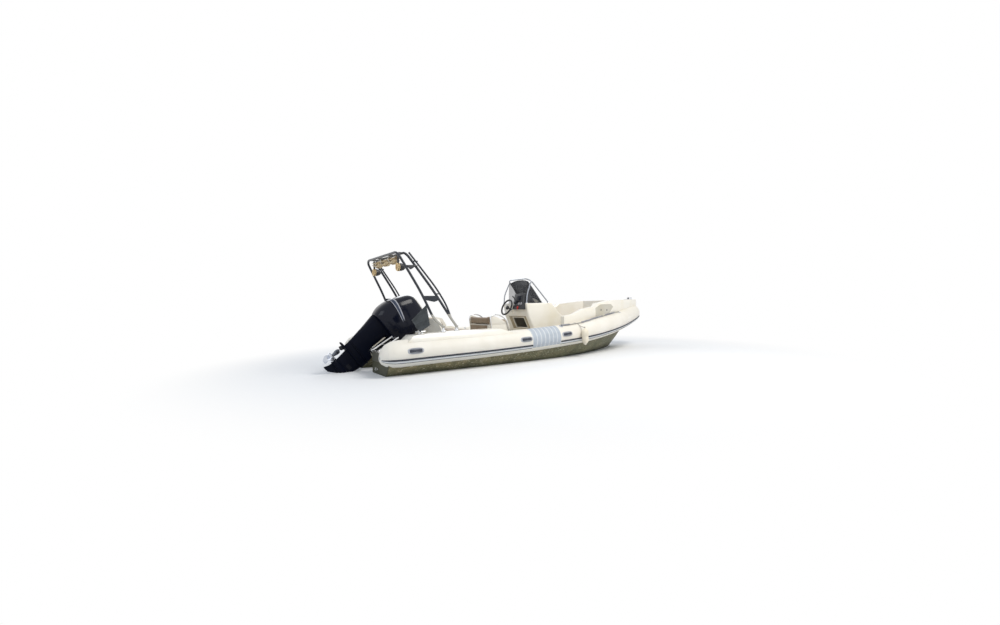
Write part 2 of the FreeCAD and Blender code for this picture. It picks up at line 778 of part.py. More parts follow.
def build_console():
    """Hollow steering console with a locker opening in its aft face."""
    corners = (
        ("console_aft_x + 220", "floor_z"),
        ("console_aft_x + 180", "console_top_z - 560"),
        ("console_aft_x + 40", "console_top_z - 250"),
        ("console_aft_x", "console_top_z"),
        ("console_aft_x + console_length - 320", "console_top_z - 5"),
        ("console_aft_x + console_length - 110", "console_top_z - 230"),
        ("console_aft_x + console_length - 10", "console_top_z - 290"),
        ("console_aft_x + console_length", "floor_z"),
    )
    body = pad_body("console_shell", "XZ_Plane", corners, "console_half_width * 2")
    round_edges(body, "console_wall * 2.5", lambda edge: abs(edge.tangentAt(edge.FirstParameter).y) < 0.1
                and edge.BoundBox.ZMax > mm("floor_z") + 1)
    inner = (
        ("console_aft_x + 220 + console_wall * 1.3", "floor_z - 20"),
        ("console_aft_x + 180 + console_wall * 1.3", "console_top_z - 560"),
        ("console_aft_x + 40 + console_wall * 1.2", "console_top_z - 250"),
        ("console_aft_x + console_wall * 1.2", "console_top_z - console_wall"),
        ("console_aft_x + console_length - 320 - console_wall * 0.5", "console_top_z - 5 - console_wall"),
        ("console_aft_x + console_length - 110 - console_wall", "console_top_z - 230 - console_wall"),
        ("console_aft_x + console_length - 10 - console_wall", "console_top_z - 290 - console_wall"),
        ("console_aft_x + console_length - console_wall", "floor_z - 20"),
    )
    pocket(body, "XZ_Plane", inner, "(console_half_width - console_wall) * 2")
    opening = block(
        "console_opening", "260", "400", "210", ("console_aft_x - 20", "0 - 260", "console_top_z - 510"))
    cut = doc.addObject("Part::Cut", "console_cut")
    cut.Base = body
    cut.Tool = opening
    doc.recompute()
    place = wheel_place()
    boss = Part.makeCylinder(40, 60, Vector(0, 0, 128))
    bore = Part.makeCylinder(mm("wheel_shaft_radius") + mm("shaft_clearance"), 200, Vector(0, 0, 100))
    for tool in (boss, bore):
        tool.Placement = place
    feature("console", joined([cut.Shape, boss]).cut(bore))


def build_dash():
    """Dark instrument pod on the console, and the throttle beside the wheel."""
    corners = (
        ("console_aft_x - 60", "console_top_z - 130"),
        ("console_aft_x + 12", "console_top_z + dash_height"),
        ("console_aft_x + 110", "console_top_z + dash_height"),
        ("console_aft_x + 280", "console_top_z + 0.3"),
        ("console_aft_x - 0.3", "console_top_z + 0.3"),
        ("console_aft_x + 16", "console_top_z - 130"),
    )
    pod = pad_body("dash_pod", "XZ_Plane", corners, "dash_width", "0 - dash_centre_y")
    trimmed = doc.addObject("Part::Cut", "dash_cut")
    trimmed.Base = pod
    trimmed.Tool = nodes["console"]
    doc.recompute()
    solid = max(trimmed.Shape.Solids, key=lambda item: item.Volume)
    feature("dash", solid)
    lever_y = mm("wheel_y") - mm("wheel_diameter") / 2 - 75
    foot = Vector(mm("console_aft_x") - 40, lever_y, mm("console_top_z") + 20)
    base = Part.makeCylinder(38, 60, foot - Vector(28, 30, 0), Vector(0, 1, 0))
    lever = bent_tube([foot - Vector(28, 0, 0), foot + Vector(-60, 0, 90), foot + Vector(-62, 60, 130)], 18)
    throttle = joined([base, lever]).cut(nodes["dash"].Shape).cut(nodes["console"].Shape)
    feature("throttle", max(throttle.Solids, key=lambda item: item.Volume))


def build_wheel():
    """Steering wheel: a rim, three spokes, a hub and its shaft."""
    radius = mm("wheel_diameter") / 2
    rim = Part.makeTorus(radius - 14, 14)
    spokes = []
    for angle in (0, 120, 240):
        turn = math.radians(angle)
        end = Vector((radius - 14) * math.cos(turn), (radius - 14) * math.sin(turn), 0)
        spokes.append(rod(Vector(0, 0, 20), end, 9))
    hub = Part.makeCone(48, 34, 40, Vector(0, 0, 0))
    shaft = Part.makeCylinder(mm("wheel_shaft_radius"), mm("wheel_shaft_length"))
    wheel = joined([rim, hub, shaft] + spokes)
    item = feature("steering_wheel", wheel)
    item.Placement = wheel_place()


def wheel_place():
    """The wheel's own Z axis points forward and down, along its shaft."""
    turn = Rotation(Vector(0, 1, 0), 90 + mm("wheel_rake"))
    return Placement(Vector(mm("wheel_x"), mm("wheel_y"), mm("wheel_z")), turn)


def build_screen():
    """Smoked windscreen and the stainless rail round it."""
    fore = mm("console_aft_x") + 560
    base = mm("console_top_z") + 0.3
    top = mm("screen_top_z")
    half = mm("console_half_width") - 45
    crown = half - 60
    outer = plan_shell(fore, base, top, half, crown, 0)
    inner = plan_shell(fore, base, top, half, crown, mm("screen_thickness"))
    screen = outer.cut(inner)
    screen = screen.cut(nodes["dash"].Shape)
    feature("windscreen", max(screen.Solids, key=lambda item: item.Volume))
    build_screen_rail(fore, half)


def plan_shell(fore, base, top, half, crown, inset):
    """A wedge that leans aft: its base outline joined to a smaller top outline."""
    def ring(front, back, width, corner, z):
        points = [
            Vector(back, -width, z),
            Vector(front - corner, -width, z),
            Vector(front, -width + corner, z),
            Vector(front, width - corner, z),
            Vector(front - corner, width, z),
            Vector(back, width, z),
        ]
        return Part.makePolygon(points + points[:1])

    aft = mm("console_aft_x") + 130
    low = ring(fore - inset, aft - inset * 4, half - inset, 120, base - inset)
    high = ring(fore - 400 - inset, aft - 20 - inset * 4, crown - inset, 30, top + inset)
    return Part.makeLoft([low, high], True, True)


def build_screen_rail(fore, half):
    """Two bent hoops that meet above the screen."""
    top = mm("rail_top_z")
    base = mm("console_top_z") + 9
    apex = mm("console_aft_x") + 110
    out = half + 22
    front = [
        Vector(fore + 30, -out, base),
        Vector(apex + 60, -out + 20, top - 50),
        Vector(apex, -out + 110, top),
        Vector(apex, out - 110, top),
        Vector(apex + 60, out - 20, top - 50),
        Vector(fore + 30, out, base),
    ]
    aft = [
        Vector(apex - 90, -out, base),
        Vector(apex - 70, -out, base + 180),
        Vector(apex + 55, -out + 22, top - 60),
    ]
    side = bent_tube(aft, mm("rail_diameter"))
    feet = [
        Part.makeCylinder(mm("rail_diameter"), 9, Vector(point.x, point.y, mm("console_top_z") + mm("seat_gap")))
        for point in (front[0], front[-1], aft[0], Vector(aft[0].x, -aft[0].y, 0))
    ]
    feature("screen_rail", joined([bent_tube(front, mm("rail_diameter")), side, mirrored(side)] + feet))


def build_console_cushion():
    cushion(
        "console_cushion",
        "90",
        "console_half_width * 2 - 120",
        "300",
        ("console_aft_x + console_length + 0.3", "60 - console_half_width", "floor_z + 120"),
        25,
    )


# Bow


BOW_PLAN = (
    # share of the bow moulding's length, share of its half width
    (0.00, 1.00),
    (0.22, 0.98),
    (0.42, 0.80),
    (0.66, 0.56),
    (0.86, 0.31),
    (0.96, 0.20),
    (1.00, 0.10),
)


def bow_outline(inset):
    """Half breadths of the bow moulding, as an outline round the bow."""
    length = mm("bow_nose_x") - mm("bow_aft_x")
    side = [(mm("bow_aft_x") + x * length, y * from_tube("bow_inset") - inset) for x, y in BOW_PLAN]
    return [(x, -y) for x, y in side] + [(x, y) for x, y in side[::-1]]


def build_bow(hull_body):
    """Foredeck and bow coaming with a sunken seat and an anchor locker."""
    aft = mm("bow_aft_x")
    top = mm("bow_top_z")
    nose = mm("bow_nose_x")
    profile = [
        (aft, mm("floor_z")),
        (aft, top - 315),
        (aft + 260, top - 285),
        (aft + 540, top - 175),
        (aft + 1020, top - 135),
        (aft + 1120, top - 65),
        (aft + 1720, top),
        (nose - 100, top + 15),
        (nose, top - 15),
        (nose, top - 90),
        (nose - 60, top - 140),
        (nose - 60, tube_at(mm("tube_nose_x") - 100)[0].z),
        (mm("hull_nose_x"), tube_at(mm("hull_nose_x"))[0].z - mm("flange_drop")),
        (mm("cockpit_fore_x") + 150, tube_at(mm("cockpit_fore_x"))[0].z - mm("flange_drop")),
        (mm("cockpit_fore_x"), mm("floor_z")),
    ]
    side_view = prism(profile, -2000, 2000)
    plan_view = plan_prism(bow_outline(0), mm("floor_z"), 2000)
    body = side_view.common(plan_view)
    seat_fore = aft + 1720
    length = nose - aft
    wall = mm("bow_wall")
    inner = []
    for x, y in ((aft - 10, 1.0), (aft + 0.22 * length, 0.98), (aft + 0.42 * length, 0.80), (seat_fore, 0.60)):
        tube_side = -tube_at(x)[0].y - mm("tube_radius") - mm("bow_lining")
        inner.append((x, min(y * from_tube("bow_inset") - wall, tube_side)))
    ring = [(x, -y) for x, y in inner] + [(x, y) for x, y in inner[::-1]]
    well = plan_prism(ring, mm("bow_seat_z"), 2000)
    walkway = box_between((aft - 10, -from_tube("bow_inset") + wall, 0), (mm("cockpit_fore_x") + 150, from_tube("bow_inset") - wall, 2000))
    locker = box_between(
        (mm("hatch_aft_x") + 25, -mm("hatch_width") / 2 + 25, top - 205),
        (mm("hatch_aft_x") + mm("hatch_length") - 25, mm("hatch_width") / 2 - 25, 2000),
    )
    gap = mm("hatch_gap")
    rebate = box_between(
        (mm("hatch_aft_x") - mm("hinge_gap"), -mm("hatch_width") / 2 - gap, top - mm("hatch_thickness") - 6),
        (mm("hatch_aft_x") + mm("hatch_length") + gap, mm("hatch_width") / 2 + gap, 2000),
    )
    body = body.cut(tube_room).cut(hull_body).cut(well).cut(walkway).cut(locker).cut(rebate)
    feature("bow_moulding", max(body.Solids, key=lambda solid: solid.Volume))
    lid = box_between(
        (mm("hatch_aft_x"), -mm("hatch_width") / 2, top - mm("hatch_thickness") - 5.7),
        (mm("hatch_aft_x") + mm("hatch_length"), mm("hatch_width") / 2, top + 2),
    )
    hinge = Vector(mm("hatch_aft_x"), 0, top + 2)
    barrels = [
        Part.makeCylinder(mm("lid_barrel"), 60, hinge + Vector(0, y - 30, 0), Vector(0, 1, 0)) for y in (-95, 95)
    ]
    feature("bow_hatch", joined([lid] + barrels))
    build_bow_cushion(inner)


def build_bow_cushion(inner):
    """Seat cushion that fills the bow seat."""
    gap = 12
    start = mm("cockpit_fore_x") + 170
    ring = [(x, gap - y) for x, y in inner] + [(x, y - gap) for x, y in inner[::-1]]
    low = mm("bow_seat_z") + mm("seat_gap")
    pad = plan_prism(ring, low, low + mm("cushion_thickness"))
    feature("bow_cushion", pad.common(box_between((start, -2000, 0), (inner[-1][0] - gap, 2000, 2000))))


def build_deck_fittings():
    """Anchor roller at the nose and mooring cleats."""
    nose = mm("bow_nose_x")
    top = mm("bow_top_z") + 15.3
    plate = box_between((nose - 330, -38, top), (nose - 95, 38, top + 8))
    cheeks = [box_between((nose - 210, y, top), (nose - 110, y + 8, top + 60)) for y in (-38, 30)]
    pin = rod(Vector(nose - 140, -40, top + 38), Vector(nose - 140, 40, top + 38), 8)
    feature("bow_roller", joined([plate, pin] + cheeks))
    cleats = []
    for x, y, z in cleat_places():
        post = [Part.makeCylinder(9, 34, Vector(x + step, y, z)) for step in (-28, 28)]
        bar = Part.makeCylinder(9, 190, Vector(x - 95, y, z + 38), Vector(1, 0, 0))
        foot = box_between((x - 50, y - 18, z), (x + 50, y + 18, z + 5))
        cleats.append(joined([bar, foot] + post))
    feature("cleats", Part.makeCompound(cleats))


def eye_plate(root, outward, reach):
    """A plate with a hole, set across the boat, that stands out of a surface."""
    across = Vector(0, 1, 0)
    half = mm("eye_thickness") / 2
    hole = root + outward * reach
    head = rod(hole - across * half, hole + across * half, mm("eye_radius") + 11)
    up = across.cross(outward).normalize()
    web_corners = [root + up * 24, root - up * 24, hole - up * (mm("eye_radius") + 8), hole + up * (mm("eye_radius") + 8)]
    web = Part.Face(Part.makePolygon([point - across * half for point in web_corners + web_corners[:1]]))
    web = web.extrude(across * half * 2)
    return joined([head, web]).cut(rod(hole - across * 50, hole + across * 50, mm("eye_radius")))


def build_mooring_eyes():
    """Winch eye on the stem and two lifting eyes on the stern corners."""
    hull = nodes["hull"].Shape
    stem = Vector(mm("hull_stem_x") + 60, 0, 70)
    eyes = [eye_plate(stem - Vector(60, 0, -20), Vector(0.8, 0, -0.6), 110).cut(hull)]
    for side in (-1, 1):
        root = Vector(-mm("seat_gap"), side * 640, 90)
        eyes.append(eye_plate(root, Vector(-1, 0, 0), 34))
    feature("mooring_eyes", Part.makeCompound(eyes))
    return stem


def cleat_places():
    """Cleats on the stern mouldings and one on the foredeck."""
    top = mm("moulding_top_z") - 24 + 0.3
    stern_y = from_tube("cockpit_inset") + 100
    return (
        (mm("moulding_aft_x") + 330, stern_y, top + 2.5),
        (mm("moulding_aft_x") + 330, -stern_y, top + 2.5),
    )


# Tower


def leg_y(z):
    """Where the tower's starboard legs stand at a height: upright, then leaning in."""
    bend = mm("moulding_top_z") + 235
    share = max(0.0, (z - bend) / (mm("tower_top_z") - 60 - bend))
    return -from_tube("tower_foot_inset") - share * (mm("tower_foot_inset") - mm("tower_top_inset"))


def hoop(marks, inward):
    """A tower hoop from its starboard foot to its port foot; marks are distance forward and height."""
    base = mm("moulding_aft_x")
    half = [Vector(base + x, leg_y(z) + (inward if z > 1300 else 0), z) for x, z in marks[:-1]]
    x, z = marks[-1]
    half.append(Vector(base + x, 90 + inward - from_tube("tower_top_inset"), z))
    return half + [Vector(point.x, -point.y, point.z) for point in reversed(half)]


def build_tower():
    """Ski and radar tower: two hoops, a stay before each fore leg, feet and braces."""
    tube = mm("tower_tube")
    base = mm("moulding_aft_x")
    foot = mm("moulding_top_z")
    top = mm("tower_top_z")
    aft = bent_tube(hoop([(700, foot + 78), (520, foot + 235), (345, foot + 665), (20, top - 60), (0, top)], 0), tube)
    fore_marks = [(950, foot + 78), (830, foot + 245), (590, foot + 675), (180, top - 60), (150, top)]
    fore = bent_tube(hoop(fore_marks, 20), tube)
    stay_marks = [(856, foot + 207), (780, foot + 455), (620, foot + 745), (190, top - 4)]
    stay = bent_tube([Vector(base + x, leg_y(z), z) for x, z in stay_marks], mm("tower_stay"))
    brace_outline = [(370, foot + 607), (630, foot + 607), (665, foot + 540), (568, foot + 505), (395, foot + 540)]
    brace_y = leg_y(foot + 560)
    brace = prism([(base + x, z) for x, z in brace_outline], brace_y - 15, brace_y + 15)
    links = []
    for x, reach, z in ((610, 80, foot + 640), (262, 70, top - 150)):
        link_y = leg_y(z)
        links.append(rod(Vector(base + x, link_y, z), Vector(base + x + reach, link_y, z), tube / 4))
    side = [stay, brace] + links
    spar_y = from_tube("tower_top_inset") - 160
    ties = [
        rod(Vector(base, y, top), Vector(base + 150, y, top), tube / 3)
        for y in (-spar_y, -spar_y / 2.5, spar_y / 2.5, spar_y)
    ]
    for x in (base + 700, base + 950):
        side.append(Part.makeCylinder(tube / 2 + 4, 36, Vector(x, leg_y(foot), foot + 60 + mm("seat_gap"))))
    feature("tower_hoops", joined([aft, fore] + side + [mirrored(item) for item in side] + ties))
    feet = []
    for x in (base + 700, base + 950):
        disc = Part.makeCylinder(45, 40, Vector(x, leg_y(foot), foot - 20))
        sleeve = Part.makeCylinder(tube / 2 + 4, 60, Vector(x, leg_y(foot), foot))
        feet.append(joined([disc, sleeve]).cut(nodes["stern_mouldings"].Shape))
    feature("tower_feet", Part.makeCompound([both_sides(foot_part) for foot_part in feet]))
    build_tower_gear(base, tube)


def build_tower_gear(base, tube):
    half = "tube_half_spacing - tower_top_inset"
    cushion(
        "tower_canopy",
        "200",
        f"({half} - 130) * 2",
        "canopy_thickness",
        ("moulding_aft_x - 30", f"130 - ({half})", "tower_top_z - tower_tube / 2 - canopy_thickness - 0.3"),
        30,
    )
    top = mm("tower_top_z") - tube / 2 - mm("canopy_thickness") - mm("seat_gap") * 2
    pods = []
    for y in (-from_tube("tower_top_inset") + 200, from_tube("tower_top_inset") - 200):
        pods.append(Part.makeCylinder(70, 150, Vector(base + 50, y, top - 70), Vector(1, 0, 0)))
    feature("tower_speakers", Part.makeCompound(pods))
    lamp_z = mm("tower_top_z") - 220
    lamp_y = leg_y(lamp_z)
    lamp_outline = [(base + 130, lamp_z), (base + 270, lamp_z + 6), (base + 270, lamp_z - 22), (base + 205, lamp_z - 66)]
    lamp = prism(lamp_outline, lamp_y - 30, lamp_y + 30)
    bar = box_between((base + 90, lamp_y - 12, lamp_z - 12), (base + 320, lamp_y + 12, lamp_z + 2))
    lamp = joined([lamp, bar]).cut(nodes["tower_hoops"].Shape)
    feature("tower_lamp", max(lamp.Solids, key=lambda solid: solid.Volume))
    build_flag(base)


def build_flag(base):
    """A bare cloth tied along the aft leg on the starboard side."""
    foot = mm("moulding_top_z")
    outline = [(388, foot + 470), (110, foot + 215), (262, foot - 20), (455, foot + 110), (430, foot + 260)]
    y = leg_y(foot) - mm("tower_tube") / 2 + 4
    cloth = prism([(base + x, z) for x, z in outline], y - mm("flag_thickness"), y)
    feature("flag", cloth.cut(nodes["tower_hoops"].Shape))


# Engine, drawn upright about its tilt tube and then tilted


def engine_place():
    return Placement(Vector(mm("pivot_x"), 0, mm("pivot_z")), Rotation(Vector(0, 1, 0), mm("tilt_rest")))


def engine_part(label, shape):
    item = feature(label, shape)
    item.Placement = engine_place().multiply(item.Placement)
    return item


def build_clamp_bracket():
    """Two arms bolted to the transom, joined by the tilt tube."""
    aft = mm("transom_x") - mm("pivot_x")
    head = mm("transom_top_z") - mm("pivot_z")
    gap = mm("seat_gap")
    outline = [
        (aft - gap, head - 330),
        (aft - 60, head - 310),
        (aft - 70, -40),
        (-36, 40),
        (40, 40),
        (mm("transom_thickness") + 10, head + gap),
        (aft - gap, head + gap),
    ]
    arm = prism(outline, mm("clamp_half_width"), mm("clamp_half_width") + 26)
    flange = box_between((aft - 14 - gap, mm("clamp_half_width"), head - 330), (aft - gap, mm("clamp_half_width") + 70, head - 20))
    side = joined([arm, flange])
    tube = rod(Vector(0, -mm("clamp_half_width") - 30, 0), Vector(0, mm("clamp_half_width") + 30, 0), mm("tilt_tube_radius"))
    low = ram_ends()[0]
    reach = Vector(0, mm("clamp_half_width") + 13, 0)
    pin = rod(low - reach, low + reach, mm("ram_pin_radius"))
    bracket = joined([side, mirrored(side), tube, pin])
    item = feature("clamp_bracket", bracket)
    item.Placement = Placement(Vector(mm("pivot_x"), 0, mm("pivot_z")), Rotation())


def build_swivel_bracket():
    """Knuckle on the tilt tube that carries the steering shaft."""
    half = mm("clamp_half_width") - 6
    knuckle = rod(Vector(0, -half, 0), Vector(0, half, 0), 36)
    offset = mm("steer_offset")
    sleeve = Part.makeCylinder(44, 380, Vector(-offset, 0, -350))
    web = box_between((-offset, -70, -36), (0, 70, 20))
    ribs = [prism([(-offset + 30, -200), (-offset + 30, 0), (-60, 0), (-60, -36)], y, y + 14) for y in (-64, 50)]
    body = joined([knuckle, sleeve, web] + ribs)
    clearance = mm("shaft_clearance")
    bore = rod(Vector(0, -half - 5, 0), Vector(0, half + 5, 0), mm("tilt_tube_radius") + clearance)
    shaft = rod(Vector(-offset, 0, -500), Vector(-offset, 0, 200), mm("steer_shaft_radius") + clearance)
    engine_part("swivel_bracket", body.cut(bore).cut(shaft))


def ram_ends():
    """Lower pin and rod eye of the tilt ram, from the tilt tube, in the stored pose."""
    low = Vector(mm("ram_foot_x"), 0, mm("ram_foot_z"))
    eye = engine_place().Rotation.multVec(Vector(-mm("ram_eye_behind"), 0, -mm("ram_eye_below")))
    return low, eye


def build_tilt_ram():
    """Hydraulic tilt cylinder and its rod, between the clamp arms."""
    low, eye = ram_ends()
    axis = (eye - low).normalize()
    across = Vector(0, 1, 0)
    clearance = mm("shaft_clearance")
    boss = rod(low - across * 22, low + across * 22, 22)
    barrel = joined([boss, rod(low, low + axis * 172, 26)])
    bore = rod(low + axis * 24, low + axis * 182, mm("ram_rod_radius") + clearance)
    pin_bore = rod(low - across * 30, low + across * 30, mm("ram_pin_radius") + clearance)
    place = Placement(Vector(mm("pivot_x"), 0, mm("pivot_z")), Rotation())
    feature("tilt_cylinder", barrel.cut(bore).cut(pin_bore)).Placement = place
    knob = rod(eye - across * 18, eye + across * 18, 16)
    stem = rod(eye - axis * 169, eye, mm("ram_rod_radius"))
    feature("tilt_rod", joined([stem, knob])).Placement = place


def build_engine():
    """Leg with ventilation plate and gearcase, cowl and propeller."""
    offset = mm("steer_offset")
    plate = -mm("leg_plate_drop")
    shaft_z = -mm("prop_drop")
    base = mm("cowl_base")
    aft = -mm("prop_behind") - 20
    leg = stacked((
        # height, aft, fore, half width, corner
        (plate + 1, aft + 10, -offset + 105, 50, 45),
        (plate + 130, aft + 15, -offset + 95, 58, 50),
        (plate + 265, aft + 10, -offset + 75, 62, 50),
        (plate + 288, aft + 8, -offset - 60, 66, 50),
        (-150, aft - 5, -offset - 70, 115, 60),
        (38, aft - 15, -offset - 70, 138, 60),
    ))
    plate_solid = stacked(((plate - 12, aft - 60, -offset + 80, 130, 100), (plate + 3, aft - 60, -offset + 80, 130, 100)))
    strut = stacked(((shaft_z, aft + 110, -offset + 20, 30, 28), (plate - 5, aft + 80, -offset + 85, 46, 42)))
    torpedo = Part.makeCylinder(60, 260, Vector(aft + 85, 0, shaft_z), Vector(1, 0, 0))
    nose = Part.makeCone(60, 14, 110, Vector(aft + 345, 0, shaft_z), Vector(1, 0, 0))
    skeg = prism([(aft + 250, shaft_z - 40), (aft + 190, shaft_z - 185), (aft + 85, shaft_z - 195), (aft + 100, shaft_z - 40)], -7, 7)
    shaft = rod(Vector(-offset, 0, -420), Vector(-offset, 0, base - 30), mm("steer_shaft_radius"))
    yoke = box_between((-offset - 110, -45, -420), (-offset + 34, 45, -360))
    pan = stacked(((38, aft - 15, -offset + 80, 138, 60), (base - 20, aft - 30, -offset + 100, 148, 60)))
    engine_part("engine_leg", joined([leg, plate_solid, strut, torpedo, nose, skeg, shaft, yoke, pan]))
    half = mm("cowl_half_width")
    height = mm("cowl_height")
    gap = mm("seat_gap")
    cowl = stacked((
        # height, aft, fore, half width, corner
        (base - 20 + gap, -690, -10, half * 0.72, 110),
        (base + height * 0.10, -725, 30, half * 0.95, 140),
        (base + height * 0.30, -745, 25, half, 150),
        (base + height * 0.55, -735, 5, half * 0.98, 150),
        (base + height * 0.80, -685, -45, half * 0.88, 150),
        (base + height * 0.94, -620, -155, half * 0.70, 110),
        (base + height, -550, -230, half * 0.46, 80),
    ))
    engine_part("engine_cowl", cowl)
    build_propeller(shaft_z)


def build_propeller(shaft_z):
    """Three-bladed propeller on its hub."""
    centre = -mm("prop_behind")
    hub = Part.makeCone(48, 40, 120, Vector(centre + 57, 0, shaft_z), Vector(-1, 0, 0))
    radius = mm("prop_radius")
    blades = []
    for number in range(3):
        sections = []
        for reach, chord, pitch in ((30, 90, 62), (0.5 * radius, 150, 48), (0.85 * radius, 130, 36), (radius, 60, 32)):
            turn = math.radians(pitch)
            along = Vector(math.cos(turn), math.sin(turn), 0) * (chord / 2)
            thick = Vector(-math.sin(turn), math.cos(turn), 0) * 4
            middle = Vector(centre, 0, shaft_z + reach)
            ring = [middle - along, middle - thick, middle + along, middle + thick]
            sections.append(Part.makePolygon(ring + ring[:1]))
        blade = Part.makeLoft(sections, True, True)
        blade.rotate(Vector(0, 0, shaft_z), Vector(1, 0, 0), 120 * number)
        blades.append(blade)
    engine_part("propeller", joined([hub] + blades))


# Stern fittings


def build_ladder():
    """Boarding ladder folded up on the starboard platform."""
    hinge = Vector(mm("ladder_hinge_x"), -from_tube("ladder_inset"), mm("ladder_hinge_z"))
    half = mm("ladder_spacing") / 2
    turn = math.radians(mm("ladder_rise"))
    along = Vector(math.cos(turn), 0, math.sin(turn))
    side = Vector(0, half, 0)
    rails = [rod(hinge + side * way, hinge + side * way + along * mm("ladder_length"), 12) for way in (-1, 1)]
    rungs = [
        rod(hinge - side + along * (mm("ladder_length") * share), hinge + side + along * (mm("ladder_length") * share), 10)
        for share in (0.45, 0.95)
    ]
    pin = rod(hinge - side - Vector(0, 34, 0), hinge + side + Vector(0, 34, 0), 9)
    ladder = joined(rails + rungs + [pin])
    feature("ladder", ladder)
    ears = []
    for y in (hinge.y - half - 34, hinge.y + half + 14):
        ear = joined([
            box_between((hinge.x, y, mm("platform_z") + 0.3), (60, y + 20, mm("platform_z") + 12)),
            prism([(hinge.x - 16, hinge.z - 16), (hinge.x - 16, hinge.z + 16), (hinge.x + 16, hinge.z + 16),
                   (40, mm("platform_z") + 12), (0, mm("platform_z") + 0.3)], y, y + 20),
        ])
        ears.append(ear)
    bore = rod(hinge - side - Vector(0, 60, 0), hinge + side + Vector(0, 60, 0), 9 + mm("shaft_clearance"))
    feature("ladder_bracket", Part.makeCompound([ear.cut(bore) for ear in ears]))


def build_fender():
    """Fender that hangs on the starboard tube by a strap laid over the tube."""
    centre, along = tube_at(mm("fender_x"))
    out = mm("tube_radius") + mm("strake_thickness") + mm("fender_radius") + mm("seat_gap") * 2
    top = centre.z + 122
    y = centre.y - out
    length = mm("fender_length")
    radius = mm("fender_radius")
    axis = Vector(mm("fender_x"), y, top - length)
    body = Part.makeCylinder(radius, length - 120, axis + Vector(0, 0, 60))
    ends = [
        Part.makeCone(radius, 22, 60, axis + Vector(0, 0, 60), Vector(0, 0, -1)),
        Part.makeCone(radius, 22, 60, axis + Vector(0, 0, length - 60)),
    ]
    feature("fender", joined([body] + ends))
    half = mm("strap_thickness") / 2
    lie = mm("tube_radius") + mm("seat_gap") + half

    def over(angle):
        turn = math.radians(angle)
        return Vector(mm("fender_x"), centre.y - lie * math.cos(turn), centre.z + lie * math.sin(turn))

    root = Vector(mm("fender_x"), y, top + half)
    path = Part.Wire([
        Part.LineSegment(root, over(48)).toShape(),
        Part.Arc(over(48), over(70), over(96)).toShape(),
    ])
    flat = Vector(mm("strap_width") / 2, 0, 0)
    thick = (over(48) - root).cross(flat).normalize() * half
    corners = [root + flat + thick, root - flat + thick, root - flat - thick, root + flat - thick]
    strap = path.makePipe(Part.Face(Part.makePolygon(corners + corners[:1])))
    eye = Part.makeCylinder(16, 20, Vector(mm("fender_x"), y, top + mm("seat_gap")))
    feature("fender_strap", joined([strap, eye]).cut(nodes["fender"].Shape).cut(tube_room))


# Assembly


build_tube_fittings()
hull_body = build_hull()
build_floor()
build_stern_well()
build_stern_mouldings()
build_stern_coaming()
build_bench()
build_helm_seat()
build_console()
build_dash()
build_wheel()
build_screen()
build_console_cushion()
build_bow(hull_body)
build_deck_fittings()
build_mooring_eyes()
build_tower()
build_clamp_bracket()
build_swivel_bracket()
build_tilt_ram()
build_engine()
build_ladder()
build_fender()

doc.recompute()
for item in doc.Objects:
    if "Invalid" in item.State or "Error" in item.State:
        raise RuntimeError(item.Label + " did not build")
for label, item in nodes.items():
    if item.Shape.isNull() or not item.Shape.isValid():
        raise RuntimeError(label + " has no valid shape")

os.makedirs("parts", exist_ok=True)
for label, item in nodes.items():
    item.Shape.exportStep(os.path.join("parts", label + ".step"))
    print(label, len(item.Shape.Solids), round(item.Shape.Volume / 1e6, 2))
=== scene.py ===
# %% [markdown]
# # A rigid inflatable boat
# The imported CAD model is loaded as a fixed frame, in metres. The bow points along +X, port is +Y, and
# z is 0 at the waterline. Everything below dresses that frame: the real boat has smooth air tubes,
# moulded decks, sewn cushions and polished rails, and the frame has only their solids.

# %% Load the frame
import json
import math

import bmesh
import bpy
from mathutils import Matrix, Vector

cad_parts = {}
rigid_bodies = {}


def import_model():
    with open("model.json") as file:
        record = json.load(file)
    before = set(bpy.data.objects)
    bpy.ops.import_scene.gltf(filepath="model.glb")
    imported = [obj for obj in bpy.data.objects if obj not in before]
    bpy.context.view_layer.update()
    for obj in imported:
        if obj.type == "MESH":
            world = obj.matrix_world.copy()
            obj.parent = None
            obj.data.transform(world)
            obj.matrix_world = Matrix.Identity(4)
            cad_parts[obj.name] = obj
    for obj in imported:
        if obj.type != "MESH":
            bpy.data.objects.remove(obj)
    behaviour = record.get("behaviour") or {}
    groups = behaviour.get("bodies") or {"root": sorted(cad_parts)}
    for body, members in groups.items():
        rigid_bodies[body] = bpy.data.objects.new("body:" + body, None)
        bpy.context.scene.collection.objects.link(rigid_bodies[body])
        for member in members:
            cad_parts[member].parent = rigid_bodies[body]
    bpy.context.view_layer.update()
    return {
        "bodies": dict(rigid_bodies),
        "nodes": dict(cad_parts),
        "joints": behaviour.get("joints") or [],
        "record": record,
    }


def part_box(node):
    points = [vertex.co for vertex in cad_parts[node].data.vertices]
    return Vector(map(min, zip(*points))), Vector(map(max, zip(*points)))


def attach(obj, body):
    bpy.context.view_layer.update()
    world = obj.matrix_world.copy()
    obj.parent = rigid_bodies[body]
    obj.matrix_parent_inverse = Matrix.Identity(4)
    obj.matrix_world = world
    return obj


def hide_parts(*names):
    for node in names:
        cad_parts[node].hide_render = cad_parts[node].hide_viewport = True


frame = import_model()
NODES = frame["nodes"]
BODY_OF = {node: body for body, nodes in frame["record"]["behaviour"]["bodies"].items() for node in nodes}
SLOT_OF = {row["node"]: row["material_slot"] for row in frame["record"]["subparts"]}

# %% [markdown]
# ## Selecting as by hand
# Blender's operators act on whatever is selected, so each step begins by letting go of everything and
# taking hold of one piece, or of the faces and edges that a test on their place picks out.

# %% Selection helpers


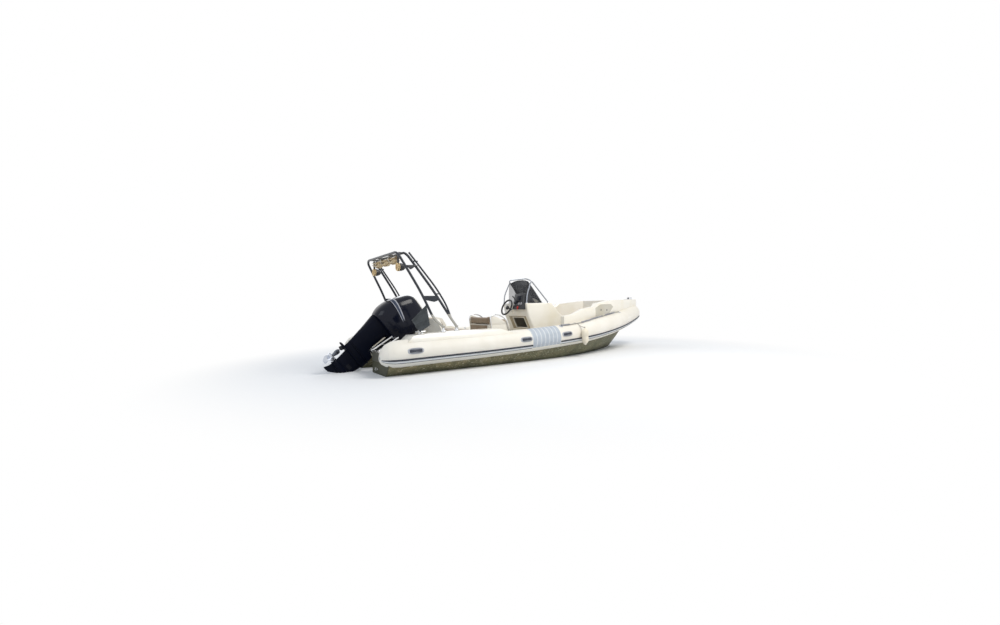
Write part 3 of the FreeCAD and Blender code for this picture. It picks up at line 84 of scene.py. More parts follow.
def let_go():
    """Back to object mode with nothing selected."""
    if bpy.context.object and bpy.context.object.mode != "OBJECT":
        bpy.ops.object.mode_set(mode="OBJECT")
    bpy.ops.object.select_all(action="DESELECT")


def take(piece):
    """Make one piece the selected and active one."""
    let_go()
    piece.select_set(True)
    bpy.context.view_layer.objects.active = piece
    return piece


def pick(piece, wanted, kind="FACE"):
    """Enter edit mode with the faces or edges that a test picks."""
    take(piece)
    bpy.ops.object.mode_set(mode="EDIT")
    bpy.ops.mesh.select_mode(type=kind)
    bpy.ops.mesh.select_all(action="DESELECT")
    mesh = bmesh.from_edit_mesh(piece.data)
    mesh.normal_update()
    items = mesh.faces if kind == "FACE" else mesh.edges
    for item in [item for item in items if wanted(item)]:
        item.select_set(True)
    mesh.select_flush_mode()
    bmesh.update_edit_mesh(piece.data)


def pick_all(piece):
    """Enter edit mode with everything selected."""
    take(piece)
    bpy.ops.object.mode_set(mode="EDIT")
    bpy.ops.mesh.select_mode(type="VERT")
    bpy.ops.mesh.select_all(action="SELECT")


def done():
    """Back to object mode."""
    bpy.ops.object.mode_set(mode="OBJECT")


MERGE_REACH = 0.00002


def modify(piece, kind, **settings):
    """Add one modifier and apply it."""
    take(piece)
    modifier = piece.modifiers.new(kind.title(), kind)
    for name, value in settings.items():
        setattr(modifier, name, value)
    bpy.ops.object.modifier_apply(modifier=modifier.name)
    return piece


def round_edges(piece, width, angle=50, segments=3):
    """Bevel every edge that turns more sharply than an angle in degrees."""
    limit = math.radians(angle)
    return modify(piece, "BEVEL", width=width, segments=segments, limit_method="ANGLE", angle_limit=limit)


def subdivide(piece, levels=1):
    return modify(piece, "SUBSURF", levels=levels, render_levels=levels)


def settle(piece):
    """Move a piece's place, turn and scale into its mesh."""
    take(piece)
    bpy.ops.object.transform_apply(location=True, rotation=True, scale=True)
    return piece


def outward(piece):
    """Merge doubled points and turn every face outwards."""
    pick_all(piece)
    bpy.ops.mesh.remove_doubles(threshold=MERGE_REACH)
    bpy.ops.mesh.normals_make_consistent(inside=False)
    done()
    return piece


print("selection helpers ready")

# %% [markdown]
# ## Materials as sums
# A finish is easier to read as arithmetic than as a web of nodes. The small class below wraps a
# socket, so that a plus or a times sign between two fields adds the Math node for it.

# %% A socket that does sums


class Field:
    """A value that varies over a surface."""

    def __init__(self, finish, socket):
        self.finish = finish
        self.socket = socket

    def __add__(self, other):
        return self.finish.maths("ADD", self, other)

    def __sub__(self, other):
        return self.finish.maths("SUBTRACT", self, other)

    def __rsub__(self, other):
        return self.finish.maths("SUBTRACT", other, self)

    def __mul__(self, other):
        return self.finish.maths("MULTIPLY", self, other)

    __radd__ = __add__
    __rmul__ = __mul__

    def between(self, low, high):
        """0 below low, 1 above high, and smooth between them."""
        settings = {"interpolation_type": "SMOOTHSTEP", "clamp": True}
        return self.finish.add("ShaderNodeMapRange", settings, Value=self, From_Min=low, From_Max=high)


class Finish:
    """A material with one Principled shader, and short names for the nodes that feed it."""

    def __init__(self, name, color, roughness, **sockets):
        self.material = bpy.data.materials.new(name)
        self.material.use_nodes = True
        self.tree = self.material.node_tree
        self.shader = self.tree.nodes["Principled BSDF"]
        self.material.diffuse_color = (*color[:3], 1)
        self.feed(Base_Color=(*color[:3], 1), Roughness=roughness, **sockets)

    def feed(self, **sockets):
        """Set the shader's sockets to numbers, or link fields to them."""
        for name, value in sockets.items():
            self.put(self.shader.inputs[name.replace("_", " ")], value)
        return self

    def put(self, socket, value):
        if isinstance(value, Field):
            self.tree.links.new(value.socket, socket)
        else:
            socket.default_value = value

    def add(self, kind, settings, *values, out=0, **named):
        """Any other node: its settings first, then its inputs by order or by name."""
        node = self.tree.nodes.new(kind)
        for name, value in settings.items():
            if name == "stops":
                self.set_stops(node.color_ramp, value)
            else:
                setattr(node, name, value)
        for socket, value in zip(node.inputs, values):
            self.put(socket, value)
        for name, value in named.items():
            self.put(node.inputs[name.replace("_", " ")], value)
        return Field(self, node.outputs[out])

    def set_stops(self, ramp, stops):
        while len(ramp.elements) < len(stops):
            ramp.elements.new(0.5)
        for element, (place, color) in zip(ramp.elements, stops):
            element.position = place
            element.color = (*color[:3], 1)

    def place(self, stretch=(1, 1, 1)):
        """Where a point is on its piece, in metres, stretched for a pattern."""
        spot = self.add("ShaderNodeTexCoord", {}, out="Object")
        return self.add("ShaderNodeMapping", {}, spot, Scale=stretch)

    def axis(self, name):
        """One coordinate of the point in metres."""
        spot = self.add("ShaderNodeTexCoord", {}, out="Object")
        return self.add("ShaderNodeSeparateXYZ", {}, spot, out=name)

    def noise(self, scale, detail=3, stretch=(1, 1, 1), rough=0.5):
        spot = self.place(stretch)
        return self.add("ShaderNodeTexNoise", {}, Vector=spot, Scale=scale, Detail=detail, Roughness=rough)

    def cells(self, scale):
        """Distance to the nearest of many scattered points, as in leather grain."""
        return self.add("ShaderNodeTexVoronoi", {}, Vector=self.place(), Scale=scale)

    def waves(self, scale, direction, distortion):
        """Parallel bands across one direction, like the threads of a weave."""
        settings = {"wave_type": "BANDS", "bands_direction": direction}
        spot = self.place()
        return self.add("ShaderNodeTexWave", settings, Vector=spot, Scale=scale, Distortion=distortion)

    def maths(self, operation, *values):
        """One sum of fields or numbers, such as a product, the greater of two, or a cosine."""
        return self.add("ShaderNodeMath", {"operation": operation}, *values)

    def blend(self, amount, first, second):
        """Mix two colours."""
        node = self.tree.nodes.new("ShaderNodeMix")
        node.data_type = "RGBA"
        self.put(node.inputs[0], amount)
        for socket, value in ((node.inputs[6], first), (node.inputs[7], second)):
            self.put(socket, value if isinstance(value, Field) else (*value[:3], 1))
        return Field(self, node.outputs[2])

    def bump(self, height, distance, strength=1.0):
        """Raise the surface by a field, in metres at most."""
        relief = self.add("ShaderNodeBump", {}, Height=height, Distance=distance, Strength=strength)
        return self.feed(Normal=relief)


print("finishes are made with", Finish.__name__)

# %% [markdown]
# ## Coated fabric and gelcoat
# The tubes are a coated fabric: matt, a little cloudy, with a weave that only shows close up. The
# decks are gelcoat, sprayed into a polished mould, so they are glossy with a soft ripple. The tubes
# turn greyer towards the waterline, and the hull's stain of growth there holds painted shade, both
# worked out from the height.

# %% Pale finishes
CREAM = (0.80, 0.755, 0.655)
WARM_WHITE = (0.84, 0.80, 0.71)


def make_tube_fabric():
    fabric = Finish("tube_fabric", CREAM, 0.5)
    fabric.feed(Sheen_Weight=0.12)
    cloud = fabric.noise(3.2, detail=5)
    blotch = fabric.noise(16, detail=4, rough=0.6)
    # The tube turns greyer towards the waterline, worked out from the height
    low = 1 - fabric.axis("Z").between(0.12, 0.42)
    greyer_low = low * (0.25 + blotch * 0.5)
    clean = fabric.blend(cloud.between(0.35, 0.7), (0.77, 0.725, 0.635), (0.81, 0.77, 0.69))
    fabric.feed(Base_Color=fabric.blend(greyer_low, clean, (0.55, 0.56, 0.53)), Roughness=0.46 + blotch * 0.14)
    across = fabric.waves(420, "X", distortion=0.6)
    along = fabric.waves(420, "Z", distortion=0.6)
    fabric.bump((across + along) * 0.5 + cloud * 0.4, 0.0006, 0.35)
    return fabric.material


def make_gelcoat(name, color, painted_shade_aft=False):
    """Glossy resin, and where asked for, painted shade darkening the face that looks aft."""
    gel = Finish(name, color, 0.28)
    gel.feed(Coat_Roughness=0.08)
    cloud = gel.noise(2.2, detail=4)
    speck = gel.noise(48, detail=5, rough=0.7)
    older = tuple(value * shade for value, shade in zip(color, (0.93, 0.90, 0.82)))
    worn = gel.blend(cloud.between(0.4, 0.75), color, older)
    grime = speck.between(0.6, 0.82) * 0.22
    skin = gel.blend(grime, worn, (0.47, 0.44, 0.37))
    # Painted shade: the face that looks aft is darkened
    if painted_shade_aft:
        skin = gel.blend((1 - gel.axis("X").between(0.0, 0.035)) * 0.9, skin, (0.06, 0.06, 0.045))
    gel.feed(Base_Color=skin, Roughness=0.22 + speck * 0.2)
    gel.feed(Coat_Weight=0.5 - speck * 0.3)
    gel.bump(gel.noise(26, detail=2) + speck * 0.15, 0.0007, 0.3)
    return gel.material


def make_hull():
    """Olive brown up to the tube, growth stain and painted shade; greener forward; painted shade aft."""
    gel = Finish("hull_gelcoat", WARM_WHITE, 0.35)
    height = gel.axis("Z")
    ragged = gel.noise(4.5, detail=7, rough=0.62)
    fleck = gel.noise(34, detail=6, stretch=(0.6, 0.6, 1.6), rough=0.68)
    drips = gel.noise(22, detail=4, stretch=(1, 1, 0.14))
    edge = height - ragged * 0.10 - drips * 0.05
    # Olive brown below a ragged line: a stain of growth, with painted shade and reflected water in it
    weed_and_shade = 1 - edge.between(0.44, 0.60)
    brown = gel.blend(ragged.between(0.38, 0.62), (0.125, 0.115, 0.055), (0.230, 0.200, 0.105))
    pale = gel.blend(fleck.between(0.555, 0.64), brown, (0.58, 0.55, 0.42))
    forward = gel.axis("X").between(1.0, 5.0)
    green = gel.blend(forward * 0.6, pale, (0.075, 0.085, 0.045))
    dark = gel.blend((1 - height.between(-0.02, 0.12)) * 0.75, green, (0.045, 0.056, 0.027))
    # Painted shade on the face that looks aft
    painted_aft_shade = 1 - gel.axis("X").between(0.0, 0.03)
    dark = gel.blend(painted_aft_shade * 0.85, dark, (0.022, 0.026, 0.014))
    skin = gel.blend(weed_and_shade, (0.40, 0.37, 0.27), dark)
    gel.feed(Base_Color=skin, Roughness=0.34 + weed_and_shade * (0.1 + fleck * 0.3))
    gel.bump(fleck * weed_and_shade, 0.003, 0.5)
    return gel.material


TUBE_FABRIC = make_tube_fabric()
DECK_GELCOAT = make_gelcoat("deck_gelcoat", WARM_WHITE)
HULL_GELCOAT = make_hull()
print("pale finishes made")

# %% [markdown]
# ## Rubber, vinyl and cloth
# Strakes, pads and handles are rubber, which is dusty and scuffed rather than evenly black. Upholstery
# is grained vinyl: small cells for the grain, and a slow change of shade where it has been sat on.

# %% Rubber and soft finishes
PAD_AFT, PAD_FORE = 2.70, 3.39
PAD_RIBS = 7
PAD_GREY = (0.43, 0.47, 0.52)


def make_rubber(name, color, scuff, roughness=0.62, grain=0.0005):
    rubber = Finish(name, color, roughness)
    dust = rubber.noise(9, detail=6, rough=0.65)
    nick = rubber.noise(90, detail=4)
    mark = dust.between(0.52, 0.78) * 0.6
    rubber.feed(Base_Color=rubber.blend(mark, color, scuff), Roughness=roughness - 0.1 + dust * 0.25)
    rubber.bump(nick + dust * 0.5, grain, 0.5)
    return rubber.material


def make_vinyl(name, color, worn, grain=0.0007):
    vinyl = Finish(name, color, 0.5)
    pores = vinyl.cells(260)
    fine = vinyl.noise(520, detail=2)
    use = vinyl.noise(5, detail=4)
    vinyl.feed(Base_Color=vinyl.blend(use.between(0.35, 0.7), color, worn))
    vinyl.feed(Roughness=0.42 + pores * 0.35, Sheen_Weight=0.08)
    vinyl.bump(pores + fine * 0.3, grain, 0.55)
    return vinyl.material


def make_cloth(name, color, faded, pitch=300, roughness=0.85, sheen=0.15):
    cloth = Finish(name, color, roughness, Specular_IOR_Level=0.2)
    cloth.feed(Sheen_Weight=sheen, Sheen_Roughness=0.5)
    warp = cloth.waves(pitch, "Y", distortion=1.2)
    weft = cloth.waves(pitch, "Z", distortion=1.2)
    fade = cloth.noise(6, detail=5)
    shade = cloth.blend(fade.between(0.3, 0.7), color, faded)
    darker = tuple(value * 0.8 for value in color)
    woven = cloth.blend(warp * weft * 0.25, shade, darker)
    cloth.feed(Base_Color=woven, Roughness=roughness - 0.1 + fade * 0.2)
    cloth.bump((warp + weft) * 0.5, 0.0004, 0.3)
    return cloth.material


def make_pad_rubber():
    """Grey rubber with a paler stripe of painted light in each valley between the ribs of the step pad."""
    pad = Finish("pad_rubber", PAD_GREY, 0.6)
    turns = (pad.axis("X") - PAD_AFT) * (2 * math.pi * PAD_RIBS / (PAD_FORE - PAD_AFT))
    # Painted light and shade: pale stripes along the valleys stand in for the ribs' shading
    valley = pad.maths("COSINE", turns).between(0.55, 0.95)
    dust = pad.noise(9, detail=6, rough=0.65)
    grey = pad.blend(dust.between(0.4, 0.75) * 0.6, PAD_GREY, (0.34, 0.375, 0.42))
    pad.feed(Base_Color=pad.blend(valley * 0.7, grey, (0.66, 0.68, 0.68)), Roughness=0.5 + dust * 0.25)
    pad.bump(pad.cells(150) + dust * 0.5, 0.0008, 0.4)
    return pad.material


STRAKE_RUBBER = make_rubber("strake_rubber", (0.030, 0.034, 0.045), (0.13, 0.14, 0.15))
STRAKE_LIGHT = make_rubber("strake_light_rubber", (0.70, 0.72, 0.73), (0.50, 0.52, 0.52))
PAD_RUBBER = make_pad_rubber()
HANDLE_RUBBER = make_rubber("handle_rubber", (0.42, 0.43, 0.46), (0.30, 0.31, 0.33))
GRIP_RUBBER = make_rubber("grip_rubber", (0.035, 0.04, 0.055), (0.12, 0.12, 0.13))
WHEEL_RUBBER = make_rubber("wheel_rubber", (0.022, 0.022, 0.024), (0.09, 0.09, 0.09), 0.55)
TAUPE_VINYL = make_vinyl("upholstery", (0.235, 0.165, 0.105), (0.29, 0.215, 0.14))
WHITE_VINYL = make_vinyl("white_vinyl", (0.78, 0.735, 0.64), (0.70, 0.655, 0.56))
CANOPY_CLOTH = make_cloth("canopy_cloth", (0.62, 0.49, 0.29), (0.70, 0.59, 0.40))
FLAG_CLOTH = make_cloth("flag_cloth", (0.040, 0.046, 0.050), (0.065, 0.072, 0.076), 420, sheen=0.0)
STRAP_CLOTH = make_cloth("strap_web", (0.36, 0.34, 0.30), (0.45, 0.43, 0.38), 600)
LINE_CLOTH = make_cloth("line_sleeve", (0.21, 0.215, 0.235), (0.34, 0.34, 0.36), 420)
FENDER_VINYL = make_vinyl("fender_vinyl", (0.78, 0.71, 0.57), (0.66, 0.60, 0.48), 0.0004)
print("rubber and soft finishes made")

# %% [markdown]
# ## Metal, paint and glass
# Stainless rails are bright with faint polishing lines and salt spots. The engine is black paint under
# a thin clear coat, with metal flakes in it that show only where light strikes.

# %% Hard finishes


def make_steel(name, color, roughness):
    steel = Finish(name, color, roughness, Metallic=1.0)
    lines = steel.noise(60, detail=5, stretch=(1, 1, 9), rough=0.7)
    salt = steel.noise(14, detail=6, rough=0.6)
    spots = salt.between(0.60, 0.80)
    dull = tuple(value * 0.72 for value in color)
    steel.feed(Base_Color=steel.blend(spots, color, dull), Roughness=roughness + lines * 0.12 + spots * 0.22)
    steel.bump(lines, 0.00015, 0.4)
    return steel.material


def make_paint(name, color, flake, roughness=0.2, coat=0.25, shine=0.3, bare_below=None):
    """Flake paint, and where a height is given, bare polished steel below it."""
    paint = Finish(name, color, roughness)
    paint.feed(Coat_Roughness=0.06, Specular_IOR_Level=shine)
    flakes = paint.cells(900)
    film = paint.noise(7, detail=6, rough=0.6)
    chalk = film.between(0.60, 0.9) * 0.2
    shade = paint.blend(chalk, color, flake)
    sparkle = (1 - flakes).between(0.75, 0.95) * 0.1
    skin = paint.blend(sparkle, shade, flake)
    if bare_below is not None:
        bare = 1 - paint.axis("Z").between(bare_below - 0.001, bare_below + 0.001)
        skin = paint.blend(bare, skin, (0.40, 0.39, 0.36))
        paint.feed(Metallic=bare * 0.9)
    paint.feed(Base_Color=skin, Roughness=roughness + film * 0.16, Coat_Weight=coat - chalk * coat)
    paint.bump(paint.noise(60, detail=2), 0.0004, 0.25)
    return paint.material


def make_plastic(name, color, roughness):
    plastic = Finish(name, color, roughness)
    grain = plastic.noise(240, detail=3)
    haze = plastic.noise(12, detail=4)
    lighter = tuple(min(1, value * 1.35 + 0.01) for value in color)
    plastic.feed(Base_Color=plastic.blend(haze * 0.6, color, lighter), Roughness=roughness + haze * 0.18)
    plastic.bump(grain, 0.0003, 0.4)
    return plastic.material


def make_smoke():
    """Tinted acrylic, clearer at the sides than in front, with wiped streaks in its gloss."""
    smoke = Finish("smoked_screen", (0.055, 0.056, 0.062), 0.06, Specular_IOR_Level=0.25)
    streaks = smoke.noise(8, detail=5, stretch=(1, 1, 0.25))
    wide = smoke.maths("ABSOLUTE", smoke.axis("Y")) + (smoke.axis("Z") - 1.11) * 0.129
    side = wide.between(0.376, 0.386)
    smoke.feed(Alpha=0.82 - side * 0.52 + streaks * 0.08, Roughness=0.04 + streaks * 0.12)
    return smoke.material


STAINLESS = make_steel("stainless", (0.76, 0.77, 0.79), 0.16)
BLADE_STEEL = make_steel("blade_steel", (0.55, 0.58, 0.64), 0.24)
ANODISED = make_steel("anodised", (0.42, 0.44, 0.47), 0.34)
# Stainless painted darker than the rest, as shade on the screen rail
SHADED_RAIL_STEEL = make_steel("rail_steel", (0.34, 0.36, 0.40), 0.22)
TOWER_PAINT = make_paint("tower_paint", (0.016, 0.020, 0.028), (0.08, 0.09, 0.11), 0.26)
TOWER_TUBE = make_paint("tower_tube", (0.016, 0.020, 0.028), (0.08, 0.09, 0.11), 0.26, bare_below=0.95)
ENGINE_PAINT = make_paint("engine_paint", (0.0030, 0.0042, 0.010), (0.015, 0.02, 0.033), 0.30, 0.03, 0.05)
MATT_PAINT = make_paint("matt_paint", (0.0030, 0.0042, 0.010), (0.015, 0.02, 0.033), 0.55, 0.0, 0.03)
COWL_PAINT = make_paint("cowl_plastic", (0.0030, 0.0045, 0.011), (0.015, 0.02, 0.035), 0.2, 0.08, 0.1)
BRACKET_PAINT = make_paint("bracket_paint", (0.012, 0.014, 0.018), (0.05, 0.055, 0.06), 0.36, 0.1)
DASH_PLASTIC = make_plastic("dash_plastic", (0.016, 0.017, 0.02), 0.22)
SPEAKER_PLASTIC = make_plastic("speaker_plastic", (0.020, 0.020, 0.022), 0.3)
LAMP_PLASTIC = make_plastic("lamp_plastic", (0.03, 0.03, 0.034), 0.35)
CREAM_PLASTIC = make_plastic("cream_plastic", (0.66, 0.48, 0.23), 0.3)
GAUGE_FACE = make_plastic("gauge_face", (0.30, 0.31, 0.32), 0.4)
RED_PLASTIC = make_plastic("red_plastic", (0.50, 0.02, 0.015), 0.3)
# Cream gelcoat painted darker, as shade, for the locker's frame
SHADED_LOCKER_GELCOAT = make_gelcoat("locker_gelcoat", (0.34, 0.28, 0.18))
PANEL_GELCOAT = make_gelcoat("panel_gelcoat", (0.52, 0.49, 0.41))
# The stern well's face that looks aft carries painted shade
STERN_GELCOAT = make_gelcoat("stern_gelcoat", WARM_WHITE, painted_shade_aft=True)
LINE_RUBBER = make_rubber("line_rubber", (0.10, 0.105, 0.115), (0.18, 0.18, 0.18))
TAN_PLASTIC = make_plastic("tan_plastic", (0.34, 0.22, 0.10), 0.4)
SMOKED_SCREEN = make_smoke()
print("hard finishes made")

# %% [markdown]
# ## The light, the floor and the camera
# A plain pale floor lies at the waterline, and turns white with distance so that no horizon shows. The
# camera stands just over a metre above it, about eight metres off the starboard quarter.

# %% Floor, light and camera
EYE = Vector((-2.282, -7.744, 1.083))
YAW, PITCH, ROLL = math.radians(33.34), math.radians(-0.97), math.radians(-1.31)
FOCAL_PIXELS, PICTURE_PIXELS, SENSOR_MM = 443.131, 1000, 36
BOAT_MIDDLE = 3.2
FLOOR_SIZE, FLOOR_SHADE = 400, 0.85
FADE_FROM, FADE_TO = 3.7, 6.6
SKY_COLOR, SKY_STRENGTH = (0.80, 0.86, 0.95, 1), 0.62
LAMPS = (
    # name, place, target, size, watts, colour
    ("sun_bank", (4.5, -5.5, 7.5), (BOAT_MIDDLE, 0, 0.5), 4.0, 520, (1, 0.972, 0.92)),
    ("fill_bank", (-6.0, -3.0, 4.5), (2.5, 0, 0.4), 4.0, 105, (0.86, 0.92, 1)),
    ("far_bank", (5.0, 7.5, 5.5), (BOAT_MIDDLE, 0, 0.6), 5.0, 200, (0.94, 0.97, 1)),
)


def make_floor():
    let_go()
    bpy.ops.mesh.primitive_plane_add(size=FLOOR_SIZE, location=(3, 0, 0))
    floor = settle(bpy.context.object)
    floor.name = "floor"
    pale = Finish("floor_pale", (FLOOR_SHADE,) * 3, 0.9)
    tree, nodes = pale.tree, pale.tree.nodes
    out = nodes["Material Output"]
    spot = pale.add("ShaderNodeMapping", {}, pale.place(), Location=(-BOAT_MIDDLE, 0, 0))
    away = pale.add("ShaderNodeVectorMath", {"operation": "LENGTH"}, spot, out="Value")
    far = away.between(FADE_FROM, FADE_TO)
    white = nodes.new("ShaderNodeEmission")
    white.inputs["Color"].default_value = (1, 1, 1, 1)
    mixed = nodes.new("ShaderNodeMixShader")
    tree.links.new(far.socket, mixed.inputs[0])
    tree.links.new(pale.shader.outputs[0], mixed.inputs[1])
    tree.links.new(white.outputs[0], mixed.inputs[2])
    tree.links.new(mixed.outputs[0], out.inputs["Surface"])
    floor.data.materials.append(pale.material)


def make_sky():
    """Soft grey light on the boat, and white where the camera, a mirror or glass sees past it."""
    world = bpy.data.worlds.new("studio")
    bpy.context.scene.world = world
    world.use_nodes = True
    tree = world.node_tree
    tree.nodes.clear()
    path = tree.nodes.new("ShaderNodeLightPath")
    seen = tree.nodes.new("ShaderNodeMath")
    seen.operation = "MAXIMUM"
    tree.links.new(path.outputs["Is Camera Ray"], seen.inputs[0])
    tree.links.new(path.outputs["Is Transmission Ray"], seen.inputs[1])
    mirrored = tree.nodes.new("ShaderNodeMath")
    mirrored.operation = "MAXIMUM"
    tree.links.new(seen.outputs[0], mirrored.inputs[0])
    tree.links.new(path.outputs["Is Glossy Ray"], mirrored.inputs[1])
    soft = tree.nodes.new("ShaderNodeBackground")
    soft.inputs["Color"].default_value = SKY_COLOR
    soft.inputs["Strength"].default_value = SKY_STRENGTH
    white = tree.nodes.new("ShaderNodeBackground")
    white.inputs["Color"].default_value = (1, 1, 1, 1)
    mixed = tree.nodes.new("ShaderNodeMixShader")
    tree.links.new(mirrored.outputs[0], mixed.inputs[0])
    tree.links.new(soft.outputs[0], mixed.inputs[1])
    tree.links.new(white.outputs[0], mixed.inputs[2])
    out = tree.nodes.new("ShaderNodeOutputWorld")
    tree.links.new(mixed.outputs[0], out.inputs["Surface"])


def add_lamp(name, place, target, size, watts, color):
    """A square lamp that looks at a target."""
    let_go()
    bpy.ops.object.light_add(type="AREA", location=place)
    lamp = bpy.context.object
    lamp.name = name
    lamp.data.size = size
    lamp.data.energy = watts
    lamp.data.color = color
    aim = Vector(target) - Vector(place)
    lamp.rotation_euler = aim.to_track_quat("-Z", "Y").to_euler()


def make_camera():
    """Stand at the eye, turned by compass, tilted a little down and rolled as the horizon is."""
    ahead = Vector((math.sin(YAW) * math.cos(PITCH), math.cos(YAW) * math.cos(PITCH), math.sin(PITCH)))
    level = Vector((math.cos(YAW), -math.sin(YAW), 0))
    tall = level.cross(ahead)
    right = level * math.cos(ROLL) + tall * math.sin(ROLL)
    up = tall * math.cos(ROLL) - level * math.sin(ROLL)
    data = bpy.data.cameras.new("camera")
    data.sensor_width, data.lens = SENSOR_MM, FOCAL_PIXELS * SENSOR_MM / PICTURE_PIXELS
    data.clip_end = 500
    camera = bpy.data.objects.new("camera", data)
    bpy.context.collection.objects.link(camera)
    turn = Matrix((right, up, -ahead)).transposed()
    camera.matrix_world = Matrix.Translation(EYE) @ turn.to_4x4()
    bpy.context.scene.camera = camera


make_floor()
make_sky()
make_camera()
for row in LAMPS:
    add_lamp(*row)
bpy.context.scene.view_settings.view_transform = "Standard"
print("camera at", tuple(round(v, 2) for v in EYE))

# %% [markdown]
# ## Every CAD node gets its finish
# A node whose shape is already right stays, and only its material is set. Most of these are hidden
# further down, when a better piece takes their place.

# %% Materials by slot
FINISH_OF = {
    "hull_gelcoat": HULL_GELCOAT,
    "deck_gelcoat": DECK_GELCOAT,
    "tube_fabric": TUBE_FABRIC,
    "strake_rubber": STRAKE_RUBBER,
    "strake_light_rubber": STRAKE_LIGHT,
    "pad_rubber": PAD_RUBBER,
    "handle_rubber": HANDLE_RUBBER,
    "upholstery": TAUPE_VINYL,
    "stainless": STAINLESS,
    "dash_plastic": DASH_PLASTIC,
    "wheel_rubber": WHEEL_RUBBER,
    "smoked_screen": SMOKED_SCREEN,
    "tower_paint": TOWER_PAINT,
    "canopy_cloth": CANOPY_CLOTH,
    "speaker_plastic": SPEAKER_PLASTIC,
    "bracket_paint": BRACKET_PAINT,
    "engine_paint": ENGINE_PAINT,
    "cowl_plastic": COWL_PAINT,
    "fender_vinyl": FENDER_VINYL,
    "lamp_plastic": LAMP_PLASTIC,
    "flag_cloth": FLAG_CLOTH,
    "strap_web": STRAP_CLOTH,
}
for node, piece in NODES.items():
    piece.data.materials.clear()
    piece.data.materials.append(FINISH_OF[SLOT_OF[node]])
print("finishes on", len(NODES), "nodes")

# %% [markdown]
# ## Rings, wires and lathes
# Three ways of making cover most of what follows. A rounded outline is extruded through level sections,
# for skins such as the engine cowl. A profile is drawn point by point and spun round an axis, for hubs,
# fenders and lamps. And a wire is a curve with a round bevel that is turned into a mesh.

# %% Making helpers


def raise_rings(rows, sides=32, power=3.0):
    """Extrude one rounded outline through level sections: height, aft, fore, half width.

    A power of 2 would make the outline an ellipse, and a higher one squares it.
    """
    let_go()
    bpy.ops.mesh.primitive_circle_add(vertices=sides, radius=1, fill_type="NGON")
    piece = bpy.context.object
    for point in piece.data.vertices:
        x, y, _ = point.co
        point.co = (math.copysign(abs(x) ** (2 / power), x), math.copysign(abs(y) ** (2 / power), y), 0)
    pick_all(piece)
    centre, length, width = Vector(), 1, 1
    for number, (height, aft, fore, half) in enumerate(rows):
        goal = Vector(((aft + fore) / 2, 0, height))
        if number:
            bpy.ops.mesh.extrude_region_move()
        bpy.ops.transform.translate(value=goal - centre)
        stretch = ((fore - aft) / 2 / length, half / width, 1)
        bpy.ops.transform.resize(value=stretch, center_override=goal)
        centre, length, width = goal, (fore - aft) / 2, half
    done()
    return outward(piece)


def lathe(profile, steps=32):
    """Draw a profile of (radius, height) and spin it round the Z axis."""
    let_go()
    bpy.ops.mesh.primitive_plane_add(size=0.01)
    piece = bpy.context.object
    pick_all(piece)
    bpy.ops.mesh.merge(type="CENTER")
    place = Vector()
    for number, (radius, height) in enumerate(profile):
        goal = Vector((radius, 0, height))
        if number:
            bpy.ops.mesh.extrude_region_move(TRANSFORM_OT_translate={"value": goal - place})
        else:
            bpy.ops.transform.translate(value=goal)
        place = goal
    bpy.ops.mesh.select_all(action="SELECT")
    bpy.ops.mesh.spin(steps=steps, angle=2 * math.pi, center=(0, 0, 0), axis=(0, 0, 1))
    done()
    return outward(piece)


def wire(points, radius, bend=0.0, closed=False, sides=4):
    """A round wire through points, with its corners rounded."""
    let_go()
    data = bpy.data.curves.new("wire", "CURVE")
    data.dimensions = "3D"
    data.bevel_depth = radius
    data.bevel_resolution = sides
    data.use_fill_caps = True
    track = rounded(points, bend) if bend else [Vector(point) for point in points]
    spline = data.splines.new("POLY")
    spline.points.add(len(track) - 1)
    for place, point in zip(spline.points, track):
        place.co = (*point, 1)
    spline.use_cyclic_u = closed
    piece = bpy.data.objects.new("wire", data)
    bpy.context.collection.objects.link(piece)
    take(piece)
    bpy.ops.object.convert(target="MESH")
    return outward(bpy.context.object)


def rounded(points, bend, steps=7):
    """Corners of a path replaced by curves of about that reach."""
    points = [Vector(point) for point in points]
    track = [points[0]]
    for before, here, after in zip(points, points[1:], points[2:]):
        to_before, to_after = (before - here), (after - here)
        reach = min(bend, 0.48 * to_before.length, 0.48 * to_after.length)
        first = here + to_before.normalized() * reach
        second = here + to_after.normalized() * reach
        for step in range(steps + 1):
            share = step / steps
            track.append(first * (1 - share) ** 2 + here * (2 * share * (1 - share)) + second * share ** 2)
    return track + [points[-1]]


def join(pieces):
    """Several pieces as one."""
    let_go()
    for piece in pieces:
        piece.select_set(True)
    bpy.context.view_layer.objects.active = pieces[0]
    bpy.ops.object.join()
    return bpy.context.object


def copy_piece(piece):
    """The same shape with a mesh of its own."""
    twin = bpy.data.objects.new(piece.name + "_twin", piece.data.copy())
    bpy.context.collection.objects.link(twin)
    return twin


def put(piece, matrix):
    """Carry a piece's mesh to its place, and keep its faces turned outwards."""
    piece.data.transform(matrix)
    if matrix.determinant() < 0:
        piece.data.flip_normals()
    return piece


def stand(place, up, ahead=(1, 0, 0)):
    """A matrix that stands a piece made along Z at a place, with its top towards up."""
    up = Vector(up).normalized()
    side = up.cross(Vector(ahead)).normalized()
    ahead = side.cross(up).normalized()
    return Matrix.Translation(Vector(place)) @ Matrix((ahead, side, up)).transposed().to_4x4()


def box(low, high, edge=0.0, segments=2):
    """A block between two corners, with rounded edges."""
    let_go()
    low, high = Vector(low), Vector(high)
    bpy.ops.mesh.primitive_cube_add(size=1, location=(low + high) / 2, scale=high - low)
    piece = settle(bpy.context.object)
    if edge:
        pick_all(piece)
        bpy.ops.mesh.bevel(offset=edge, segments=segments, affect="EDGES")
        done()
    return piece


